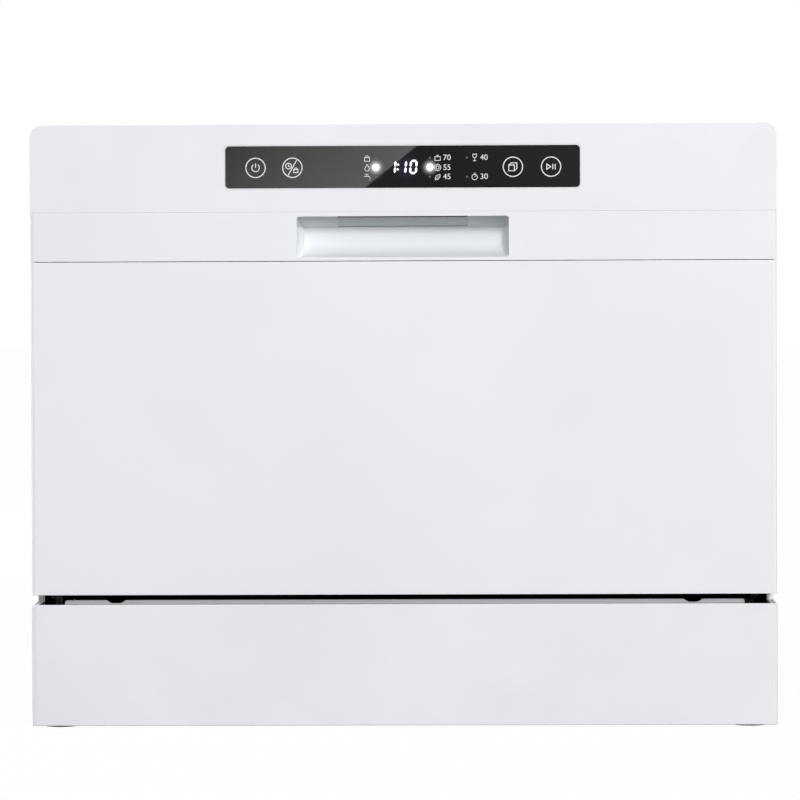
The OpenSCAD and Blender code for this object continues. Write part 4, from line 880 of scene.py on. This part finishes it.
# %% Lamp pictograms
ROW_HEIGHTS = 0.4193, 0.4121, 0.4053
PICTOGRAM = 2.5                            # half height, in millimetres
pictograms = {
    "padlock": [([(-0.75, -0.95), (0.75, -0.95), (0.75, 0.1), (-0.75, 0.1)], True),
                (arc((0, 0.15), 0.5, 0, 180, 12), False)],
    "drop": [([(0, 1.0)] + arc((0, -0.3), 0.66, 35, -215, 16), True)],
    "tap": [([(-0.9, 0.2), (0.5, 0.2), (0.85, -0.1), (0.85, -0.45)], False),
            ([(-0.1, 0.2), (-0.1, 0.8)], False),
            ([(-0.6, 0.8), (0.4, 0.8)], False), ([(0.85, -0.75), (0.85, -1.0)], False)],
    "pot": [([(-0.8, 0.3), (-0.8, -0.8), (0.8, -0.8), (0.8, 0.3)], True),
            ([(-0.35, 0.7), (0.35, 0.7)], False), ([(0, 0.3), (0, 0.7)], False)],
    "plate": [(arc((0, 0), 0.95, 0, 345, 23), True), (arc((0, 0), 0.5, 0, 330, 11), True)],
    "leaf": [(arc((-0.55, 0.35), 1.25, -75, 15, 10) + arc((0.45, -0.55), 1.15, 75, 195, 10), True),
             ([(-0.8, -0.95), (0.3, 0.1)], False)],
    "glass": [([(-0.55, 1.0), (-0.5, 0.2), (0, -0.15), (0.5, 0.2), (0.55, 1.0)], True),
              ([(0, -0.15), (0, -0.9)], False), ([(-0.45, -0.95), (0.45, -0.95)], False)],
    "clock": [(arc((0, -0.12), 0.8, 0, 345, 23), True), ([(0, -0.12), (0.3, 0.3)], False),
              ([(-0.3, 1.0), (0.3, 1.0)], False)],
}
LEFT_X, RIGHT_X, FAR_X = -26.0, 25.8, 53.0
lamp_marks = [("padlock", LEFT_X, 0, None), ("drop", LEFT_X, 1, None), ("tap", LEFT_X, 2, None),
              ("pot", RIGHT_X, 0, "70"), ("plate", RIGHT_X, 1, "55"), ("leaf", RIGHT_X, 2, "45"),
              ("glass", FAR_X, 0, "40"), ("clock", FAR_X, 2, "30")]
marks = bmesh.new()
for name, middle_x, row, number in lamp_marks:
    for line, closed in pictograms[name]:
        ribbon(marks, placed(line, middle_x, ROW_HEIGHTS[row], PICTOGRAM), SMALL_STROKE, closed)
piece_from(marks, "lamp_pictograms", ink_and_glow_paint)

NUMBER_SIZE = 0.0058
NUMBER_SHIFT = 4.0                         # from the pictogram's middle, in millimetres
for name, middle_x, row, number in lamp_marks:
    if number:
        text = bpy.data.curves.new("number_" + number, "FONT")
        text.body, text.size, text.extrude, text.align_y = number, NUMBER_SIZE, INK / 2, "CENTER"
        letters = bpy.data.objects.new("number_" + number, text)
        letters.rotation_euler = (math.radians(90), 0, 0)
        letters.location = ((middle_x + NUMBER_SHIFT) * MM, PANE_FACE - INK / 2, ROW_HEIGHTS[row])
        text.materials.append(ink_and_glow_paint)
        bpy.context.scene.collection.objects.link(letters)
        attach(letters, "door")
print("pictograms:", sorted(pictograms))

# %% [markdown]
# ## What is lit
#
# The remaining time stands in slanted seven-segment figures, and two round status lamps are on. The
# segments are stretched hexagons, which is how such a display's light guides are cut. Both glow a
# little more than white paper, and the unlit lamps are only faint grey dots.

# %% Segment helper
SEGMENT_WIDE, CELL_WIDE, CELL_TALL, CELL_STEP, LEAN = 1.5, 4.2, 8.9, 7.75, 0.085
SEGMENT_GAP = 0.25
SEGMENTS = {                               # ends in cells, from the lower left corner
    "top": ((0, 1), (1, 1)), "upper_right": ((1, 0.5), (1, 1)), "lower_right": ((1, 0), (1, 0.5)),
    "bottom": ((0, 0), (1, 0)), "lower_left": ((0, 0), (0, 0.5)), "upper_left": ((0, 0.5), (0, 1)),
}
FIGURES = {"1": ("upper_right", "lower_right"), "0": tuple(SEGMENTS)}


def lean_over(x, z):
    """Figures lean to the right as they rise."""
    return Vector((DIGITS_MIDDLE.x + (x + z * LEAN) * MM, DIGITS_MIDDLE.z + z * MM))


def polygon(mesh, outline):
    """One flat face on the pane from a list of (x, z) points."""
    mesh.faces.new([mesh.verts.new((x, PANE_FACE, z)) for x, z in outline])


def segment(mesh, start, end):
    """A stretched hexagon between two points in millimetres from the display's middle."""
    a, b = Vector(start), Vector(end)
    along = (b - a).normalized()
    side = Vector((-along.y, along.x)) * SEGMENT_WIDE / 2
    a, b = a + along * SEGMENT_GAP, b - along * SEGMENT_GAP
    tip = along * SEGMENT_WIDE / 2
    outline = [a, a + tip - side, b - tip - side, b, b - tip + side, a + tip + side]
    polygon(mesh, [lean_over(p.x, p.y) for p in outline])


print("segments:", sorted(SEGMENTS))

# %% [markdown]
# With the helpers in place, the figures and the lamps are a few loops. Each kind of light has a finish
# of its own, because the figures shine with a violet tinge and the lamps with a green one.

# %% Lit figures and lamps
lit_paint, lit_shader = new_finish("lit_segment", Roughness=0.4, Emission_Strength=1.15)
lit_shader.inputs["Emission Color"].default_value = (0.93, 0.90, 1.0, 1.0)
colour_between(lit_paint, lit_shader, pattern(lit_paint, "Noise", 400).outputs["Fac"],
               on_screen(225, 222, 240), on_screen(240, 240, 250))
lamp_paint, lamp_shader = new_finish("lit_lamp", Roughness=0.4, Emission_Strength=1.4)
lamp_shader.inputs["Emission Color"].default_value = (0.97, 1.0, 0.98, 1.0)
colour_between(lamp_paint, lamp_shader, pattern(lamp_paint, "Noise", 400).outputs["Fac"],
               on_screen(235, 240, 236), on_screen(248, 250, 248))

TIME = "110"
figures = bmesh.new()
for place, figure in enumerate(TIME):
    cell_left = (place - len(TIME) / 2) * CELL_STEP + (CELL_STEP - CELL_WIDE) / 2
    for name in FIGURES[figure]:
        ends = [(cell_left + u * CELL_WIDE, (v - 0.5) * CELL_TALL) for u, v in SEGMENTS[name]]
        segment(figures, *ends)
COLON_X, COLON_RISE, COLON_RADIUS = -3.3 - DIGITS_MIDDLE.x / MM, 1.75, 0.7
for side in (-1, 1):
    dot = arc((COLON_X, side * COLON_RISE), COLON_RADIUS, 0, 337.5, 15)
    polygon(figures, [lean_over(x, z) for x, z in dot])
piece_from(figures, "time_figures", lit_paint)

lamps = bmesh.new()
for x in LAMP_XS:
    polygon(lamps, arc((x, PANE_MIDDLE), LAMP_RADIUS, 0, 350, 35))
piece_from(lamps, "lit_lamps", lamp_paint)

UNLIT_RADIUS, FAR_LAMP_X = 0.0008, 0.0473
unlit_paint, unlit_shader = new_finish("unlit_lamp", Roughness=0.35)
colour_between(unlit_paint, unlit_shader, pattern(unlit_paint, "Noise", 300).outputs["Fac"],
               on_screen(60, 66, 68), on_screen(78, 84, 86))
unlit = bmesh.new()
for x in (*LAMP_XS, FAR_LAMP_X):
    for row in (0, 2):
        polygon(unlit, arc((x, ROW_HEIGHTS[row]), UNLIT_RADIUS, 0, 342, 19))
piece_from(unlit, "unlit_lamps", unlit_paint)
print("time figures, 2 lit and 6 unlit lamps")

# %% [markdown]
# ## The box of the dressed model
#
# Softened edges and added pieces are meant to stay within the solids. The box of the whole dressed
# model, solids included, is printed.

# %% Size
low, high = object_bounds()
print("visual box", [round(v, 4) for v in low], [round(v, 4) for v in high])
